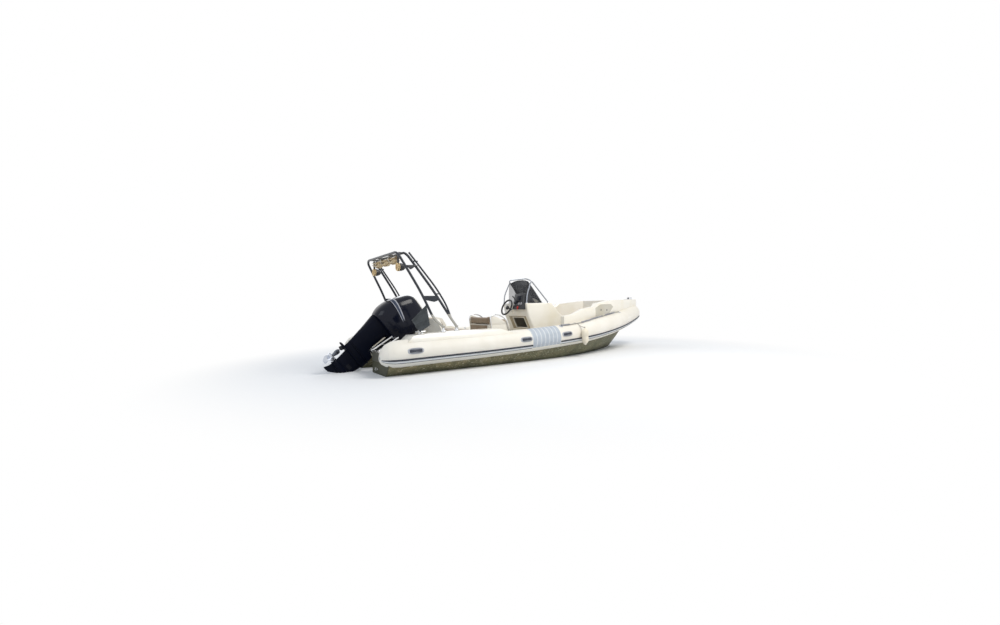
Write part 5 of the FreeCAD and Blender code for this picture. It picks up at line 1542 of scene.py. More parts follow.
def round_box_path(low, high, level, axis, spacing=0.02):
    """Points round the four sides of a block, at one level of an axis."""
    first, second = [number for number in range(3) if number != axis]
    corners = []
    for a, b in ((low[first], low[second]), (high[first], low[second]),
                 (high[first], high[second]), (low[first], high[second])):
        corner_point = [0, 0, 0]
        corner_point[first], corner_point[second], corner_point[axis] = a, b, level
        corners.append(Vector(corner_point))
    track = []
    for number, here in enumerate(corners):
        after = corners[(number + 1) % 4]
        count = max(2, round((after - here).length / spacing))
        track += [here.lerp(after, step / count) for step in range(count)]
    return track


CUSHIONS = (
    # node, body, axis it is thick along, side that is open (1 or -1), seams as (axis, place), voxel, fill
    ("bench_cushion", "bench_seat", 2, 1, ((1, -0.236), (1, 0.236)), 0.009, 0.7),
    ("bench_backrest", "boat", 0, 1, ((1, 0.02), (1, 0.36)), 0.008, 0.7),
    ("helm_cushion", "boat", 2, 1, ((1, 0.0),), 0.008, 0.75),
    ("helm_backrest", "boat", 0, -1, ((1, 0.0),), 0.007, 0.75),
    ("console_cushion", "boat", 0, 1, ((1, 0.0),), 0.008, 0.7),
)


def make_cushion(node, body, axis, open_side, seams, voxel, fill):
    low, high = (Vector(corner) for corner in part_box(node))
    middle = (low + high) / 2
    piece = box(low, high, 0.020, 3)
    size = high - low
    pick_all(piece)
    shrink = [1 - STUFFING_ROOM / length for length in size]
    bpy.ops.transform.resize(value=shrink, center_override=middle)
    done()
    swell(piece, voxel, SWELL_CAP)
    reach_low, reach_high = low.copy(), high.copy()
    if open_side > 0:
        reach_high[axis] += CROWN
    else:
        reach_low[axis] -= CROWN
    hold_within(piece, reach_low, reach_high)
    subdivide(piece)
    press_seams(piece, seams)
    level = high[axis] - 0.010 if open_side > 0 else low[axis] + 0.010
    outside = Vector((0.01, 0.01, 0.01))
    bead = lay_on(piece, round_box_path(low - outside, high + outside, level, axis), PIPING_RADIUS)
    dress(piece, node + "_cover", "upholstery", TAUPE_VINYL, 60, body)
    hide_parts(node)
    dress(bead, node + "_piping", "upholstery", WHITE_VINYL, 60, body)
    print(node, len(piece.data.vertices), "points")


for row in CUSHIONS:
    make_cushion(*row)

# %% [markdown]
# ## The bow cushion
# It fills the bow seat between the coamings, so it narrows forward. It is the frame's own outline that
# is blown up, with one seam along the centreline and one across it.

# %% Bow cushion
BOW_VOXEL = 0.011
BOW_SHRINK = (0.984, 0.978, 0.84)
BOW_SEAM, BOW_SEAM_LEVEL = 5.08, 0.76
BOW_CORD_AFT, BOW_CORD_FORE, BOW_CORD_HALF = 4.64, 5.50, 0.5


def make_bow_cushion():
    low, high = (Vector(corner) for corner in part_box("bow_cushion"))
    piece = copy_node("bow_cushion")
    pick_all(piece)
    bpy.ops.mesh.dissolve_limited(angle_limit=math.radians(1))
    bpy.ops.transform.resize(value=BOW_SHRINK, center_override=(low + high) / 2)
    done()
    round_edges(piece, 0.016, 25)
    swell(piece, BOW_VOXEL, SWELL_CAP)
    hold_within(piece, low, high + Vector((0, 0, 0.008)))
    subdivide(piece)
    press_seams(piece, ((1, 0.0), (0, BOW_SEAM)))
    across = [Vector((BOW_SEAM, y, BOW_SEAM_LEVEL)) for y in evenly(-BOW_CORD_HALF, BOW_CORD_HALF, 50)]
    ahead = [Vector((x, 0, BOW_SEAM_LEVEL)) for x in evenly(BOW_CORD_AFT, BOW_CORD_FORE, 43)]
    cords = [lay_on(piece, path, 0.003, closed=False) for path in (across, ahead)]
    dress(piece, "bow_cushion_cover", "upholstery", TAUPE_VINYL, 60)
    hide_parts("bow_cushion")
    bead = join(cords)
    dress(bead, "bow_cushion_piping", "upholstery", WHITE_VINYL, 60)


make_bow_cushion()
print("bow cushion made")

# %% [markdown]
# ## Panels on the seats
# The aft face of the helm seat carries a taupe panel in a white frame, and white wings slope down its
# sides. The port wing of the stern bench has a thin pad inside its white rim.

# %% Seat panels
AFT_PANEL_BACK, AFT_PANEL_FRONT, AFT_FRAME_PLANE = 2.290, 2.2995, 2.289
AFT_PANEL_HALF, AFT_FRAME_HALF = 0.335, 0.345
AFT_PANEL_LOW, AFT_PANEL_HIGH, AFT_FRAME_LOW, AFT_FRAME_HIGH = 0.330, 0.684, 0.320, 0.692
SIDE_WING_PLANE, WING_PAD_PLANE = -0.3925, 0.7235
SIDE_WING_OUTLINE = (
    # x, z
    (2.312, 0.7005), (2.316, 0.850), (2.335, 0.872), (2.400, 0.868), (2.500, 0.838), (2.600, 0.785),
    (2.690, 0.736), (2.755, 0.712), (2.762, 0.7005),
)
WING_PAD_OUTLINE = (
    # x, z
    (1.300, 0.655), (1.300, 0.800), (1.330, 0.828), (1.620, 0.842), (1.740, 0.815), (1.800, 0.760),
    (1.845, 0.700), (1.850, 0.655),
)


def make_seat_panels():
    low = (AFT_PANEL_BACK, -AFT_PANEL_HALF, AFT_PANEL_LOW)
    high = (AFT_PANEL_FRONT, AFT_PANEL_HALF, AFT_PANEL_HIGH)
    panel = box(low, high, 0.004, 3)
    dress(panel, "helm_aft_panel", "upholstery", TAUPE_VINYL)
    corners = ((-1, AFT_FRAME_LOW), (1, AFT_FRAME_LOW), (1, AFT_FRAME_HIGH), (-1, AFT_FRAME_HIGH))
    rim = [(AFT_FRAME_PLANE, side * AFT_FRAME_HALF, z) for side, z in corners]
    frame_bead = wire(rim, 0.006, closed=True)
    dress(frame_bead, "helm_panel_frame", "deck_gelcoat", DECK_GELCOAT, 60)
    wing = slab(SIDE_WING_OUTLINE, 0.015, 0.005)
    put(wing, Matrix.Translation((0, SIDE_WING_PLANE, 0)))
    wings = both_sides(wing)
    dress(wings, "helm_side_wings", "deck_gelcoat", DECK_GELCOAT, 50)
    pad = slab(WING_PAD_OUTLINE, 0.012, 0.0045)
    put(pad, Matrix.Translation((0, WING_PAD_PLANE, 0)))
    dress(pad, "wing_pad", "upholstery", TAUPE_VINYL, 50)


make_seat_panels()
print("seat panels made")

# %% [markdown]
# ## The folded canopy and the flag
# Both are single sheets of cloth. The canopy is laid in zigzag folds under the hoops and sags between
# the straps that bind it, so it is one grid whose rows follow the folds. The flag is a square of bare
# dark cloth tied to the leg by one edge, with folds that open towards its free corner.

# %% Sheets
CANOPY_HALF = 0.600
CANOPY_FOLDS = 2.5
CANOPY_MIDDLE, CANOPY_TOP = 0.380, 1.950
CANOPY_REACH, CANOPY_DEPTH, CANOPY_SAG = 0.078, 0.122, 0.016
STRAP_PINCH, STRAP_SQUEEZE = 0.010, 0.024
STRAP_PLACES = (-0.413, -0.013, 0.387)
STRAP_LOW, STRAP_HIGH = (0.290, 1.848), (0.470, 1.972)
STRAP_WIDTH = 0.026
FLAG_TOP, FLAG_FREE_TOP = (0.698, 1.118), (0.425, 0.872)
FLAG_LOW, FLAG_FREE_LOW = (0.752, 0.775), (0.560, 0.672)
FLAG_TIES = (0.04, 0.5, 0.96)
FLAG_FACE = -1.0285


def canopy_point(along, across):
    """Where the canopy lies: along runs through the folds, across from starboard to port.

    The bundle is flatter and shorter where a strap binds it, and small waves crumple its edges.
    """
    y = (across * 2 - 1) * CANOPY_HALF
    fold = math.asin(0.96 * math.sin(along * CANOPY_FOLDS * 2 * math.pi)) * 2 / math.pi
    bound = 0.5 + 0.5 * math.cos(across * len(STRAP_PLACES) * 2 * math.pi)
    slack = 1 - bound
    reach = CANOPY_REACH - STRAP_PINCH * bound + 0.004 * math.sin(across * 19 + along * 4)
    x = CANOPY_MIDDLE + fold * reach + 0.005 * math.sin(across * 17 + 2)
    height = CANOPY_DEPTH - STRAP_SQUEEZE * bound
    z = CANOPY_TOP - along * height - slack * CANOPY_SAG - 0.003 * math.sin(across * 21 + along * 6)
    return Vector((x, y, z))


def cloth_grid(across, along, place, thickness=0.0016):
    let_go()
    bpy.ops.mesh.primitive_grid_add(x_subdivisions=across, y_subdivisions=along, size=2)
    piece = bpy.context.object
    for point in piece.data.vertices:
        point.co = place((point.co.y + 1) / 2, (point.co.x + 1) / 2)
    modify(piece, "SOLIDIFY", thickness=thickness, offset=0)
    return outward(piece)


def strap_loop(y, low, high):
    """Webbing buckled round the folded canopy."""
    let_go()
    upright = (math.pi / 2, 0, 0)
    bpy.ops.mesh.primitive_circle_add(vertices=28, radius=1, fill_type="NOTHING", rotation=upright)
    piece = settle(bpy.context.object)
    pick_all(piece)
    half = [(b - a) / 2 for a, b in zip(low, high)]
    bpy.ops.transform.resize(value=(half[0], 1, half[1]))
    centre = ((low[0] + high[0]) / 2, y, (low[1] + high[1]) / 2)
    bpy.ops.transform.translate(value=centre)
    bpy.ops.mesh.extrude_region_move(TRANSFORM_OT_translate={"value": (0, STRAP_WIDTH, 0)})
    done()
    outward(piece)
    return modify(piece, "SOLIDIFY", thickness=0.002, offset=1)


def flag_point(along, across):
    """Corner by corner: tied at the leg, loose towards the stern."""
    x, z = (
        (1 - along) * ((1 - across) * top + across * free_top)
        + along * ((1 - across) * low + across * free_low)
        for top, free_top, low, free_low in zip(FLAG_TOP, FLAG_FREE_TOP, FLAG_LOW, FLAG_FREE_LOW)
    )
    fold = 0.5 + 0.5 * math.sin(along * 13 + across * 2.5)
    creases = 0.003 * math.sin(along * 37 + across * 11)
    y = FLAG_FACE - across ** 0.7 * (0.024 * fold + creases) - 0.002
    return Vector((x + 0.006 * math.sin(along * 9) * across, y, z))


def make_sheets():
    canopy = cloth_grid(120, 110, canopy_point)
    dress(canopy, "canopy_folds", "canopy_cloth", CANOPY_CLOTH, 70)
    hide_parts("tower_canopy")
    straps = join([strap_loop(y, STRAP_LOW, STRAP_HIGH) for y in STRAP_PLACES])
    dress(straps, "canopy_straps", "canopy_cloth", STRAP_CLOTH, 60)
    flag = cloth_grid(36, 44, flag_point, 0.0012)
    dress(flag, "flag_cloth", "flag_cloth", FLAG_CLOTH, 70)
    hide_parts("flag")
    ties = []
    for share in FLAG_TIES:
        place = flag_point(share, 0.0)
        ties.append(wire([place + Vector((0.004, 0.001, 0)), place + Vector((0.02, 0.004, 0))], 0.0025))
    knots = join(ties)
    dress(knots, "flag_ties", "flag_cloth", FLAG_CLOTH, 60)


make_sheets()
print("canopy and flag made")

# %% [markdown]
# ## Speakers on the tower
# Each pod is a spun bullet that faces aft: a dark shell, a cream ring at its mouth, and a dished cone
# with a dome in it. A stalk carries it from the hoop above.

# %% Speakers
POD_AFT, POD_Y, POD_Z = 0.360, 0.632, 1.757
SHELL_PROFILE = (
    # radius, distance forward of the pod's mouth
    (0.0, 0.012), (0.050, 0.012), (0.058, 0.004), (0.066, 0.003), (0.0695, 0.012), (0.069, 0.040),
    (0.064, 0.080), (0.053, 0.115), (0.034, 0.138), (0.014, 0.148), (0.0, 0.150),
)
RING_PROFILE = (
    (0.044, 0.010), (0.044, 0.002), (0.050, -0.004), (0.060, -0.003), (0.0675, 0.003), (0.0685, 0.014),
    (0.044, 0.014),
)
CONE_PROFILE = (
    (0.0, 0.001), (0.012, 0.002), (0.019, 0.007), (0.022, 0.0105), (0.036, 0.006), (0.041, 0.004),
    (0.044, 0.009), (0.044, 0.012), (0.0, 0.012),
)
BAND_PROFILE = ((0.0693, 0.020), (0.0705, 0.022), (0.0705, 0.034), (0.0690, 0.036))


def make_speakers():
    face_aft = Matrix.Translation((POD_AFT, -POD_Y, POD_Z)) @ Matrix.Rotation(math.radians(90), 4, "Y")
    profiles = (SHELL_PROFILE, RING_PROFILE, CONE_PROFILE, BAND_PROFILE)
    shell, ring, cone, band_ring = (lathe(profile, 40) for profile in profiles)
    stalk = box((0.372, -0.020, 1.815), (0.398, 0.020, 1.9675), 0.004)
    put(stalk, Matrix.Translation((0, -POD_Y, 0)))
    parts = (
        ("speaker_shells", join([put(shell, face_aft), stalk]), SPEAKER_PLASTIC),
        ("speaker_rings", join([put(ring, face_aft), put(band_ring, face_aft)]), CREAM_PLASTIC),
        ("speaker_cones", put(cone, face_aft), TAN_PLASTIC),
    )
    for name, piece, finish in parts:
        pair = both_sides(piece)
        dress(pair, name, "speaker_plastic", finish, 45)
        if name == "speaker_shells":
            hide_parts("tower_speakers")


make_speakers()
print("speakers made")

# %% [markdown]
# ## The fender
# A vinyl bottle blown in a mould: a groove round its middle, and a neck at each end, the upper one for
# the webbing that it hangs from.

# %% Fender
FENDER_X, FENDER_Y, FENDER_LOW = 3.98, -1.2985, 0.249
FENDER_PROFILE = (
    # radius, height above its foot
    (0.0, 0.0), (0.012, 0.0), (0.020, 0.004), (0.023, 0.016), (0.030, 0.024), (0.045, 0.042),
    (0.058, 0.060), (0.0640, 0.085), (0.0650, 0.160), (0.0630, 0.166), (0.0630, 0.174),
    (0.0680, 0.182), (0.0700, 0.230), (0.0680, 0.262), (0.060, 0.285), (0.044, 0.304),
    (0.024, 0.322), (0.021, 0.332), (0.017, 0.338), (0.0, 0.3395),
)


def make_fender():
    bottle = lathe(FENDER_PROFILE, 44)
    put(bottle, Matrix.Translation((FENDER_X, FENDER_Y, FENDER_LOW)))
    dress(bottle, "fender_bottle", "fender_vinyl", FENDER_VINYL, 50)
    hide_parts("fender")


make_fender()
print("fender made")

# %% [markdown]
# ## The steering wheel and the throttle
# The wheel is drawn flat about its own axis and laid back on the helm with one matrix. Its rim is
# thick and soft, and each of its three spokes is a pair of steel rods that dish towards the hub. The
# throttle ends in a soft grip.

# %% Wheel and throttle
WHEEL_CENTRE = Vector((3.055, 0.10, 1.031))
ON_WHEEL = Matrix.Translation(WHEEL_CENTRE) @ Matrix.Rotation(math.radians(115), 4, "Y")
RIM_RADIUS, RIM_TUBE = 0.166, 0.018
SPOKE_ANGLES, SPOKE_GAP, SPOKE_RADIUS = (0, 120, 240), 0.010, 0.0042
SPOKE_PATH = ((0.020, 0.016), (0.070, 0.016), (0.125, 0.006), (RIM_RADIUS - 0.006, 0))
HUB_CUP_PROFILE = (
    # radius, height towards the dash
    (0.0, -0.004), (0.030, -0.003), (0.038, 0.001), (0.044, 0.006), (0.047, 0.012), (0.040, 0.036),
    (0.034, 0.040), (0.0, 0.040),
)
SHAFT_PROFILE = ((0.0, 0.036), (0.014, 0.036), (0.014, 0.150), (0.0, 0.150))
THROTTLE_FOOT = Vector((3.14, -0.155, 1.13))
GRIP_ENDS = (Vector((-0.0605, 0.010, 0.0965)), Vector((-0.062, 0.060, 0.130)))
GRIP_RADIUS = 0.0125


def make_wheel():
    let_go()
    bpy.ops.mesh.primitive_torus_add(major_radius=RIM_RADIUS, minor_radius=RIM_TUBE,
                                     major_segments=64, minor_segments=16)
    rim = settle(bpy.context.object)
    put(rim, ON_WHEEL)
    dress(rim, "wheel_rim", "wheel_rubber", WHEEL_RUBBER, 50, "wheel")
    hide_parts("steering_wheel")
    spokes = []
    for angle in SPOKE_ANGLES:
        turn = Matrix.Rotation(math.radians(angle), 4, "Z")
        for side in (-SPOKE_GAP, SPOKE_GAP):
            rod = wire([(reach, side, height) for reach, height in SPOKE_PATH], SPOKE_RADIUS, bend=0.02)
            spokes.append(put(rod, turn))
    metal = put(join(spokes), ON_WHEEL)
    dress(metal, "wheel_spokes", "stainless", STAINLESS, 50, "wheel")
    boss = put(join([lathe(HUB_CUP_PROFILE, 36), lathe(SHAFT_PROFILE, 24)]), ON_WHEEL)
    dress(boss, "wheel_boss", "wheel_rubber", WHEEL_RUBBER, 40, "wheel")


def make_grip():
    grip = wire([THROTTLE_FOOT + end for end in GRIP_ENDS], GRIP_RADIUS, sides=6)
    round_edges(grip, 0.004)
    dress(grip, "throttle_grip", "wheel_rubber", WHEEL_RUBBER, 60)


make_wheel()
make_grip()
print("wheel made")

# %% [markdown]
# ## Instruments
# The dark pod on the console has a display above a row of dials, switches under them, and the red
# stop switch at its foot. Everything is placed on the pod's aft face: a distance to port, and a
# distance up the face.

# %% Dash
POD_FOOT = Vector((3.12, 0, 0.98))
POD_UP = Vector((0.072, 0, 0.33)).normalized()
POD_OUT = Vector((-0.33, 0, 0.072)).normalized()
POD_MIDDLE, DISPLAY_RISE, GAUGE_RISE, SWITCH_RISE, STOP_RISE = -0.205, 0.240, 0.125, 0.062, 0.044
GAUGES = (
    # distance to port, turn of the needle in degrees
    (-0.070, -50), (-0.145, -13), (-0.220, 24), (-0.295, 61),
)
GAUGE_RING_PROFILE = (
    # radius, height
    (0.0235, 0.001), (0.0240, 0.006), (0.0265, 0.0085), (0.0295, 0.0065), (0.0305, -0.001), (0.0235, 0.001),
)
SWITCHES = (-0.345, -0.315, -0.285, -0.255, -0.145, -0.115, -0.085, -0.055)
STOP_PROFILE = (
    (0.0, 0.030), (0.012, 0.029), (0.016, 0.024), (0.016, 0.014), (0.011, 0.010), (0.011, 0.0), (0.0, 0.0),
)


def on_pod(y, rise):
    """Stand a flat piece on the pod: its X to starboard, its Y up the face, its Z towards the helm."""
    turn = Matrix((Vector((0, -1, 0)), POD_UP, POD_OUT)).transposed().to_4x4()
    return Matrix.Translation(POD_FOOT + Vector((0, y, 0)) + POD_UP * rise) @ turn


def make_dash():
    bezel = box((-0.105, -0.070, -0.002), (0.105, 0.070, 0.012), 0.005, 3)
    put(bezel, on_pod(POD_MIDDLE, DISPLAY_RISE))
    dress(bezel, "display_bezel", "dash_plastic", LAMP_PLASTIC)
    glass = box((-0.088, -0.054, 0.010), (0.088, 0.054, 0.0130), 0.001)
    put(glass, on_pod(POD_MIDDLE, DISPLAY_RISE))
    dress(glass, "display_glass", "dash_plastic", COWL_PAINT)
    rings, faces, needles = [], [], []
    for y, turned in GAUGES:
        spot = on_pod(y, GAUGE_RISE)
        rings.append(put(lathe(GAUGE_RING_PROFILE, 32), spot))
        faces.append(put(button(0.0238, 0.0035, 0.0006, 28), spot))
        lean = Matrix.Rotation(math.radians(turned), 4, "Z")
        needles.append(put(box((-0.0007, -0.003, 0.0036), (0.0007, 0.018, 0.0046)), spot @ lean))
    for name, pieces, finish in (("gauge_rings", rings, ANODISED), ("gauge_faces", faces, GAUGE_FACE),
                                 ("gauge_needles", needles, RED_PLASTIC)):
        group = join(pieces)
        dress(group, name, "dash_plastic", finish, 40)
    rockers = []
    for y in SWITCHES:
        rocker = box((-0.008, -0.013, -0.001), (0.008, 0.013, 0.006), 0.002)
        rockers.append(put(rocker, on_pod(y, SWITCH_RISE)))
    row = join(rockers)
    dress(row, "dash_switches", "dash_plastic", LAMP_PLASTIC)
    knob = lathe(STOP_PROFILE, 28)
    clip = box((-0.018, -0.046, 0.002), (0.018, 0.034, 0.012), 0.005, 3)
    stop = put(join([knob, clip]), on_pod(POD_MIDDLE, STOP_RISE))
    dress(stop, "stop_switch", "dash_plastic", RED_PLASTIC, 45)


make_dash()
print("dash made")

# %% [markdown]
# ## Console locker
# Under the wheel the console's aft face leans over an open locker. A moulded panel, its cream
# painted darker as shade, frames the opening: a small grid of nine faces with the middle one taken
# out, thickened and rounded.

# %% Locker frame
FACE_FOOT = Vector((3.36, 0, 0.55))
FACE_UP = Vector((-0.14, 0, 0.31)).normalized()
FACE_OUT = Vector((-0.31, 0, -0.14)).normalized()
LOCKER_COLUMNS, LOCKER_ROWS = (-0.275, -0.143, 0.263, 0.335), (0.018, 0.052, 0.287, 0.318)
LIP_COLUMNS, LIP_HEIGHTS = (-0.156, -0.140, 0.260, 0.276), (0.040, 0.055, 0.284, 0.298)


def framed_hole(columns, rows, thickness, edge):
    """A flat frame in XY: outer and inner edges by column and by row."""
    let_go()
    bpy.ops.mesh.primitive_grid_add(x_subdivisions=3, y_subdivisions=3, size=2)
    piece = bpy.context.object
    for point in piece.data.vertices:
        point.co = (columns[round((point.co.x + 1) * 1.5)], rows[round((point.co.y + 1) * 1.5)], 0)
    middle = Vector((sum(columns[1:3]) / 2, sum(rows[1:3]) / 2, 0))
    pick(piece, lambda face: (face.calc_center_median() - middle).length < 0.001)
    bpy.ops.mesh.delete(type="FACE")
    done()
    modify(piece, "SOLIDIFY", thickness=thickness, offset=1)
    return round_edges(piece, edge)


def make_locker():
    turn = Matrix((Vector((0, -1, 0)), FACE_UP, FACE_OUT)).transposed().to_4x4()
    on_face = Matrix.Translation(FACE_FOOT) @ turn
    panel = framed_hole(LOCKER_COLUMNS, LOCKER_ROWS, 0.004, 0.0015)
    put(panel, on_face)
    dress(panel, "locker_panel", "deck_gelcoat", SHADED_LOCKER_GELCOAT)
    lip = framed_hole(LIP_COLUMNS, LIP_HEIGHTS, 0.009, 0.003)
    put(lip, on_face)
    dress(lip, "locker_lip", "deck_gelcoat", DECK_GELCOAT)


make_locker()
print("locker framed")

# %% [markdown]
# ## Windscreen and rail
# The smoked screen is arched along its top edge. Its copy is cut finer first, so that the arch can
# raise the points near the top. The rail stands on round flanges, each with two screws.

# %% Screen
SCREEN_TOP, SCREEN_HALF = 1.575, 0.335
ARCH_FOOT, ARCH_RISE, ARCH_DROP = 1.35, 0.030, 0.024
HOOD_ROWS = (
    # height, aft, fore, half width
    (1.106, 3.345, 3.700, 0.340),
    (1.150, 3.350, 3.670, 0.335),
    (1.185, 3.360, 3.620, 0.322),
    (1.207, 3.380, 3.560, 0.290),
    (1.213, 3.410, 3.520, 0.230),
)
RAIL_FEET = (3.77, 3.20)
RAIL_HALF, FLANGE_LEVEL, SCREW_LEVEL, SCREW_REACH = 0.417, 1.1095, 1.1122, 0.021
FLANGE_PROFILE = ((0.0, 0.007), (0.014, 0.007), (0.017, 0.005), (0.026, 0.0035), (0.028, 0.0), (0.0, 0.0))


def make_screen():
    screen = copy_node("windscreen")
    pick_all(screen)
    bpy.ops.mesh.dissolve_limited(angle_limit=math.radians(1))
    bpy.ops.mesh.quads_convert_to_tris(quad_method="BEAUTY", ngon_method="BEAUTY")
    bpy.ops.mesh.subdivide(number_cuts=5)
    done()
    for point in screen.data.vertices:
        share = min(max((point.co.z - ARCH_FOOT) / (SCREEN_TOP - ARCH_FOOT), 0), 1)
        across = min(abs(point.co.y) / SCREEN_HALF, 1)
        point.co.z += share ** 1.5 * (ARCH_RISE * (1 - across ** 2.2) - ARCH_DROP * across ** 4)
    dress(screen, "arched_screen", "smoked_screen", SMOKED_SCREEN, 35)
    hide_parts("windscreen")


def make_hood():
    """The white fairing under the screen, in front of the instruments."""
    hood = raise_rings(HOOD_ROWS, sides=48)
    subdivide(hood)
    dress(hood, "console_hood", "deck_gelcoat", DECK_GELCOAT, 50)


def make_flanges():
    feet = []
    for x in RAIL_FEET:
        for y in (-RAIL_HALF, RAIL_HALF):
            feet.append(put(lathe(FLANGE_PROFILE, 28), Matrix.Translation((x, y, FLANGE_LEVEL))))
            for ahead in (-SCREW_REACH, SCREW_REACH):
                screw = button(0.0035, 0.0025, 0.001, 12)
                feet.append(put(screw, Matrix.Translation((x + ahead, y, SCREW_LEVEL))))
    flanges = join(feet)
    dress(flanges, "rail_flanges", "stainless", STAINLESS, 40)


make_screen()
make_hood()
make_flanges()
print("screen made")

# %% [markdown]
# ## Bow details
# The coaming's flat side carries a grey panel with two fasteners. It follows the coaming, which bends
# once along the panel, so its points take their depth from the coaming's own plan.

# %% Panels on the coaming
COAMING_AFT, COAMING_LENGTH, COAMING_HALF = 3.83, 3.16, 0.85
COAMING_PLAN = (
    # share of the length, share of the half width
    (0.0, 1.0), (0.22, 0.98), (0.42, 0.80), (0.66, 0.56), (0.86, 0.31), (0.96, 0.20), (1.0, 0.10),
)
PANEL_OUTLINE = (
    # x, z
    (4.823, 0.778), (4.812, 0.972), (5.028, 1.049), (5.488, 1.051), (5.612, 0.984), (5.424, 0.834),
)
PANEL_STUDS = ((5.049, 0.921), (5.304, 0.915))
STUD_PROFILE = ((0.0, 0.010), (0.010, 0.009), (0.015, 0.005), (0.017, 0.0), (0.0, 0.0))
RIM_OFF, RIM_STEPS = 0.002, 8


def coaming_y(x):
    """How far from the centreline the coaming's side is at a station."""
    share = (x - COAMING_AFT) / COAMING_LENGTH
    for (first, wide), (second, slim) in zip(COAMING_PLAN, COAMING_PLAN[1:]):
        if first <= share <= second:
            return COAMING_HALF * (wide + (slim - wide) * (share - first) / (second - first))
    return COAMING_HALF * COAMING_PLAN[-1][1]


def make_coaming_panels():
    panel = slab(PANEL_OUTLINE, 0.003, 0.001)
    pick_all(panel)
    bpy.ops.mesh.quads_convert_to_tris(quad_method="BEAUTY", ngon_method="BEAUTY")
    bpy.ops.mesh.subdivide(number_cuts=6)
    done()
    for point in panel.data.vertices:
        point.co.y -= coaming_y(point.co.x) + 0.0012
    panel = both_sides(panel)
    dress(panel, "coaming_panels", "deck_gelcoat", PANEL_GELCOAT)
    rim_path = [Vector((x, -coaming_y(x) - RIM_OFF, z)) for x, z in PANEL_OUTLINE]
    finer = []
    for here, after in zip(rim_path, rim_path[1:] + rim_path[:1]):
        for step in range(RIM_STEPS):
            spot = here.lerp(after, step / RIM_STEPS)
            finer.append(Vector((spot.x, -coaming_y(spot.x) - RIM_OFF, spot.z)))
    rim = both_sides(wire(finer, 0.005, closed=True, sides=3))
    dress(rim, "coaming_panel_rims", "deck_gelcoat", DECK_GELCOAT, 60)
    heads = []
    for x, z in PANEL_STUDS:
        place = stand((x, -coaming_y(x) - 0.0025, z), (-0.25, -0.97, 0), (1, -0.25, 0))
        heads.append(put(lathe(STUD_PROFILE, 24), place))
    studs = both_sides(join(heads))
    dress(studs, "coaming_studs", "handle_rubber", GRIP_RUBBER, 50)


make_coaming_panels()
print("coaming panels made")

# %% [markdown]
# ## Grab lines
# A line in a cloth sleeve lies along the top of each bow tube. It is slack aft, where it hangs out
# over the tube's crown, and tight further forward. Thick dark sleeves and thinner pale webbing
# alternate, with a rubber patch at each end.

# %% Lines
LINE_ROUTE = (
    # station, angle above the tube's widest line
    (3.52, 67), (3.80, 66), (4.08, 68), (4.35, 77), (4.70, 92),
    (5.00, 100), (5.30, 100), (5.55, 91), (5.80, 80),
)
SLEEVES = (
    # from station, to station, finish, radius
    (3.52, 3.74, LINE_CLOTH, 0.0165),
    (3.74, 4.10, STRAP_CLOTH, 0.0115),
    (4.10, 5.10, LINE_CLOTH, 0.0165),
    (5.10, 5.24, STRAP_CLOTH, 0.0115),
    (5.24, 5.62, LINE_CLOTH, 0.0165),
    (5.62, 5.80, STRAP_CLOTH, 0.0115),
)
LINE_ENDS = (LINE_ROUTE[0][0], LINE_ROUTE[-1][0])
PATCH_PROFILE = ((0.0, 0.006), (0.020, 0.006), (0.030, 0.004), (0.042, 0.003), (0.045, 0.0), (0.0, 0.0))


def line_angle(x):
    """The route's angle at a station, eased between its points."""
    for (first, low), (second, high) in zip(LINE_ROUTE, LINE_ROUTE[1:]):
        if first <= x <= second:
            share = (x - first) / (second - first)
            return low + (high - low) * share * share * (3 - 2 * share)
    return LINE_ROUTE[-1][1]


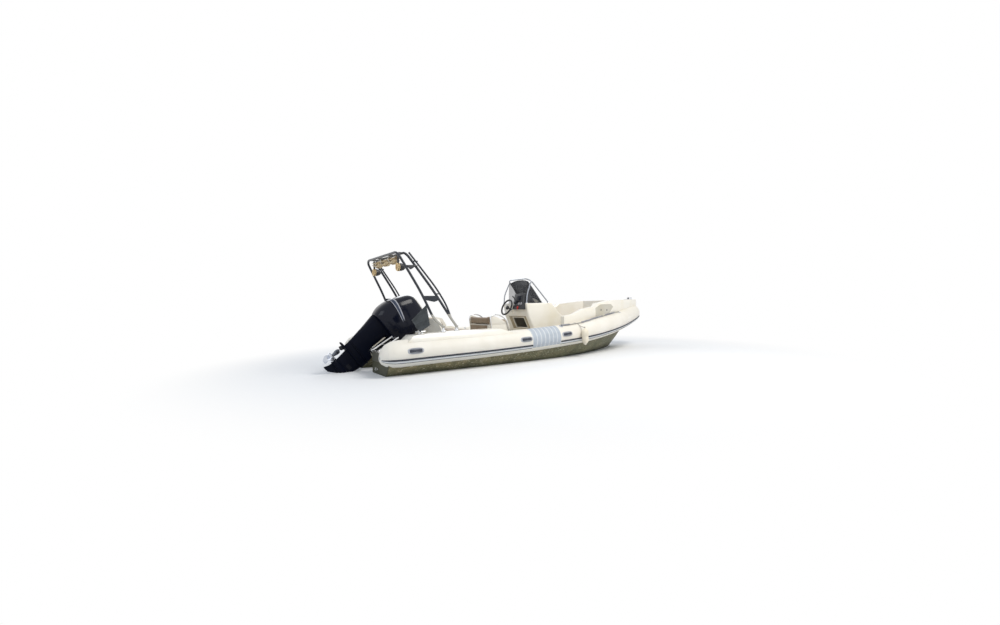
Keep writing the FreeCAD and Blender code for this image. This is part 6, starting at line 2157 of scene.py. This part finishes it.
def make_lines():
    dark, pale = [], []
    for start, end, finish, radius in SLEEVES:
        count = max(6, round((end - start) / 0.03))
        path = [on_tube(x, line_angle(x), radius + 0.001) for x in evenly(start, end, count)]
        (dark if finish is LINE_CLOTH else pale).append(wire(path, radius, sides=3))
    sleeves = both_sides(join(dark))
    dress(sleeves, "line_sleeves", "canopy_cloth", LINE_CLOTH, 60)
    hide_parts("bow_lines")
    cords = both_sides(join(pale))
    dress(cords, "line_webs", "canopy_cloth", STRAP_CLOTH, 60)
    patches = []
    for x in LINE_ENDS:
        centre, along, _ = tube_at(x)
        place = on_tube(x, line_angle(x), -0.001)
        patches.append(put(lathe(PATCH_PROFILE, 32), stand(place, place - centre, along)))
    bases = both_sides(join(patches))
    dress(bases, "line_patches", "handle_rubber", HANDLE_RUBBER, 50)


make_lines()
print("grab lines made")

# %% [markdown]
# ## Fittings on the bow deck
# The anchor locker's lid has a flush latch: a spun ring with a small wire pull in it. The roller's
# cheeks hold a black wheel that is waisted in the middle, so that a chain stays on it.

# %% Deck fittings
LATCH_PROFILE = ((0.0, 0.0016), (0.014, 0.0016), (0.016, 0.003), (0.024, 0.003), (0.026, 0.0), (0.0, 0.0))
LATCH_INSET, PULL_HALF, PULL_LIFT = 0.045, 0.010, 0.003
ROLLER_PROFILE = (
    # radius, distance along the axle
    (0.0, -0.028), (0.020, -0.028), (0.023, -0.024), (0.016, -0.006), (0.015, 0.0), (0.016, 0.006),
    (0.023, 0.024), (0.020, 0.028), (0.0, 0.028),
)
ROLLER_INSET, ROLLER_LIFT = 0.040, 0.034


def make_bow_fittings():
    low, high = (Vector(corner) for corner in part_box("bow_hatch"))
    middle = Vector((low.x + LATCH_INSET, 0, high.z))
    ring = put(lathe(LATCH_PROFILE, 32), Matrix.Translation(middle))
    corners = [(x * PULL_HALF, y * PULL_HALF, PULL_LIFT) for x, y in ((-1, -1), (1, -1), (1, 1), (-1, 1))]
    pull = wire([middle + Vector(corner) for corner in corners], 0.0016, closed=True)
    latch = join([ring, pull])
    dress(latch, "hatch_latch", "stainless", STAINLESS, 40, BODY_OF["bow_hatch"])
    low, high = (Vector(corner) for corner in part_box("bow_roller"))
    axle = Matrix.Translation((high.x - ROLLER_INSET, 0, low.z + ROLLER_LIFT))
    wheel = put(lathe(ROLLER_PROFILE, 32), axle @ Matrix.Rotation(math.radians(90), 4, "X"))
    dress(wheel, "roller_wheel", "wheel_rubber", WHEEL_RUBBER, 50)


make_bow_fittings()
print("bow fittings made")
